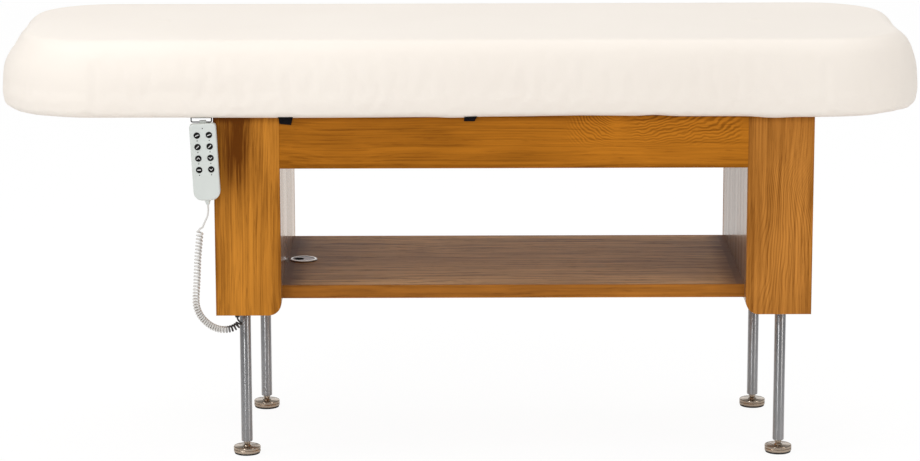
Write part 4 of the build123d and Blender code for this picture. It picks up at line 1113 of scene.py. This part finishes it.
def webbing_strip(name, end, drop, left, right, skew=0.0):
    """Strip whose side edges run from left[0] and right[0] under the cushion to left[1] and right[1] at its foot."""
    face, thickness, turn = 0.3215, 0.0014, 0.003
    swing = np.linspace(0, math.pi / 2, 6)
    top, foot = underside - 0.0002, face + thickness
    path = [(face + 0.018, top)]
    path += [(foot + turn * (1 - math.sin(t)), top - turn * (1 - math.cos(t))) for t in swing]
    path += [(foot, underside - drop * share) for share in (0.35, 0.55, 0.75, 0.9, 1.0)]
    path = np.array(path)
    way = np.gradient(path, axis=0)
    way /= np.linalg.norm(way, axis=1, keepdims=True)
    under = path + np.stack([way[:, 1], -way[:, 0]], -1) * thickness
    depth = (underside - path[:, 1]) / drop
    corners = []
    for edge, side in ((left, -1), (right, 1)):
        x = edge[0] + (edge[1] - edge[0]) * depth
        for line in (path, under) if side < 0 else (under, path):
            z = line[:, 1] - side * skew * depth
            corners.append(np.stack([x, end * line[:, 0], z], -1))
    points = np.stack(corners, 1)
    last = 4 * (len(path) - 1)
    faces = quads(len(path), 4) + [[0, 1, 2, 3], [last + 3, last + 2, last + 1, last]]
    mesh_piece(name, points, faces, slot_materials["webbing"], "carcass", ["mattress_tabs"], welded=True)


webbing_strip("left_front_tab", -1, 0.0172, (-0.3942, -0.3915), (-0.3620, -0.3668), 0.0013)
webbing_strip("middle_front_tab", -1, 0.0112, (0.0086, 0.0076), (0.0365, 0.0307))
webbing_strip("left_rear_tab", 1, 0.0180, (-0.3895, -0.3890), (-0.3605, -0.3615), -0.0008)
webbing_strip("middle_rear_tab", 1, 0.0120, (0.0095, 0.0100), (0.0385, 0.0378), 0.0006)


# Levelling feet: turned disc, swivel neck and rubber sole

legs = {
    "left_front": (-0.480, -0.2065),
    "left_rear": (-0.459, 0.2065),
    "right_front": (0.712, -0.2065),
    "right_rear": (0.691, 0.2065),
}
# Profiles, radius and height in millimetres
disc_profile = [
    (0, 4), (29, 4), (30, 5), (30, 9.3), (29.4, 9.8), (29, 10.5), (29.4, 11.2), (30, 11.7), (30, 15.6),
    (29.6, 16.5), (28.6, 17), (27.8, 16.6), (27.0, 16.9), (10.2, 17), (9.4, 17.4), (8.8, 18.4), (7.2, 19.8),
    (5.9, 20.4), (5.5, 21.0), (5.7, 21.8), (6.8, 22.2), (7.4, 23.0), (7.5, 24.0), (7.4, 26.4), (6.8, 27.4),
    (6.0, 27.7), (6.0, 75.2), (5.2, 76), (0, 76),
]
sole_profile = [(0, 0), (27.2, 0), (28.2, 0.6), (28.5, 1.6), (28.5, 4), (0, 4)]
tube_profile = [(10.5, 28), (11.2, 28), (12.1, 28.7), (12.5, 29.8), (12.5, 450), (10.5, 450), (10.5, 28)]
for name, centre in legs.items():
    foot, lift = f"{name}_foot", f"{name.split('_')[0]}_lift"
    for label, profile, steps, finish, body, slot, replaced in (
        ("foot_disc", disc_profile, 96, foot_metal, foot, "foot_metal", foot),
        ("foot_sole", sole_profile, 96, black_rubber, foot, "rubber", foot),
        ("tube", tube_profile, 72, tube_metal, lift, "leg_metal", f"{name}_leg"),
    ):
        points, faces = lathe(np.array(profile) / 1000, centre, steps)
        mesh_piece(f"{name}_{label}", points, faces, finish, body, [replaced], welded=True)


# Handset: domed buttons with pale marks


def on_handset(points):
    """Points given as width, height and depth in front of the handset's back, in metres, put in the frame."""
    across, up, depth = points[..., :1], points[..., 1:2], points[..., 2:]
    return handset_middle + across * handset_right + up * handset_up - depth * np.array([0, 1, 0])


# Profile, radius and height above the handset's back, and marks, all in millimetres
button_profile = [
    (0, 14.2), (8.0, 14.2), (8.0, 15.7), (6.8, 15.7), (6.8, 18.2), (6.6, 18.75), (6.1, 19.1), (4.8, 19.0), (0, 18.8),
]
mark_shapes = {
    "arrow_up": [(-3.4, -1.4), (0, 2.4), (3.4, -1.4), (2.2, -1.4), (0, 0.9), (-2.2, -1.4)],
    "bar": [(-3.2, -0.8), (3.2, -0.8), (3.2, 0.8), (-3.2, 0.8)],
    "slope": [(-3.2, -1.7), (3.2, 0.5), (3.2, 1.8), (-3.2, -0.4)],
}
# Mark and turn in degrees of each row's left and right button
button_rows = [
    (("slope", 180), ("slope", 0)),
    (("slope", 200), ("slope", 20)),
    (("arrow_up", 0), ("arrow_up", 180)),
    (("bar", 0), ("arrow_up", 180)),
]
handset_half_height, first_row, row_pitch, column_offset = 0.08425, 0.0247, 0.0252, 0.0131
mark_scale = 0.0012
black_button = slot_materials["button_plastic"]
pale_mark = plastic("button_mark", (0.80, 0.80, 0.78, 1), 0.5)
cap_points, cap_faces = lathe(np.array(button_profile) / 1000, (0, 0), 48)
for row, marks in enumerate(button_rows):
    for column, sign, (shape, degrees) in zip(("left", "right"), (-1, 1), marks):
        name = f"button_{row + 1}_{column}"
        offset, level = sign * column_offset, handset_half_height - first_row - row * row_pitch
        points = on_handset(cap_points + (offset, level, 0))
        mesh_piece(f"{name}_cap", points, cap_faces, black_button, name, [name], welded=True)
        turn = math.radians(degrees)
        flat = np.array(mark_shapes[shape]) * mark_scale
        flat = flat @ np.array([[math.cos(turn), math.sin(turn)], [-math.sin(turn), math.cos(turn)]])
        flat, count = flat + (offset, level), len(flat)
        points = on_handset(np.stack([at_height(flat, 0.0186), at_height(flat, 0.01915)]))
        faces = quads(2, count) + [list(range(count))[::-1], list(range(count, 2 * count))]
        mesh_piece(f"{name}_mark", points, faces, pale_mark, name, [], smooth=20, welded=True)


# Floor, light and backdrop

floor_half = 14.0
floor_points = at_height(rectangle(-floor_half, floor_half, -floor_half, floor_half), 0.0)
floor = mesh_piece("floor", floor_points, [[0, 1, 2, 3]], None)
floor_material, shader, place = material_start("pale_floor")
tree = shader.id_data
finish_shader(shader, (0.9, 0.9, 0.9, 1), 0.7)
path = shader_node(tree, "ShaderNodeLightPath").outputs
at = axes(place)
far = times(between(at["Y"], 0.9, 1.6, 0.0, 0.7), between(at["X"], -0.1, 0.3, 1.0, 0.20))
mirrored = times(path["Is Glossy Ray"], far)
seen = calc("MULTIPLY_ADD", path["Is Camera Ray"], 0.9, mirrored, clamp=True)
warmth = mixed(path["Is Glossy Ray"], (1, 1, 1, 1), (0.86, 0.76, 0.67, 1))
glow = fed_node("ShaderNodeEmission", {"Color": warmth, "Strength": 1.03}).outputs[0]
blend = fed_node("ShaderNodeMixShader", {0: seen, 1: shader.outputs[0], 2: glow}).outputs[0]
feed(node_of(tree, "OUTPUT_MATERIAL").inputs[0], blend)
floor.data.materials.append(floor_material)

world = bpy.data.worlds.new("studio")
scene.world = world
world.use_nodes = True
tree = world.node_tree
background = node_of(tree, "BACKGROUND")
path = shader_node(tree, "ShaderNodeLightPath").outputs
way = shader_node(tree, "ShaderNodeTexCoord").outputs["Generated"]
behind = between(axes(way)["Y"], 0.88, 0.95, 0.25, 1.0)
overhead = between(axes(way)["Z"], 0.75, 0.95, 0.0, 0.6)
studio = calc("MAXIMUM", behind, overhead)
diffuse_level = 0.75
level = calc("MAXIMUM", path["Is Camera Ray"], times(path["Is Glossy Ray"], studio))
plain = less(1.0, calc("MAXIMUM", path["Is Camera Ray"], path["Is Glossy Ray"]))
level = plus(level, times(plain, diffuse_level))
feed(background.inputs["Strength"], level)
feed(background.inputs["Color"], (1, 1, 1, 1))


def lamp(name, place, target, size, watts, tint=(1.0, 1.0, 1.0)):
    """Rectangular soft light that faces its target."""
    data = bpy.data.lights.new(name, "AREA")
    data.shape = "RECTANGLE"
    data.size, data.size_y = size
    data.energy = watts
    data.color = tint
    made = bpy.data.objects.new(name, data)
    scene.collection.objects.link(made)
    made.location = place
    made.rotation_euler = (Vector(target) - Vector(place)).to_track_quat("-Z", "Y").to_euler()
    made.visible_camera = False


lamp("key_light", (-2.2, -4.6, 2.6), (-0.2, 0, 0.6), (0.7, 2.2), 37)
lamp("fill_light", (4.0, -3.4, 2.2), (0.2, 0, 0.5), (1.3, 2.2), 26, (1.0, 0.95, 0.91))
lamp("left_light", (-1.9, -1.1, 2.7), (-0.3, 0, 0.8), (1.0, 1.0), 15)
lamp("top_light", (1.1, 0.9, 4.4), (0.3, 0, 0.8), (2.4, 1.6), 31)
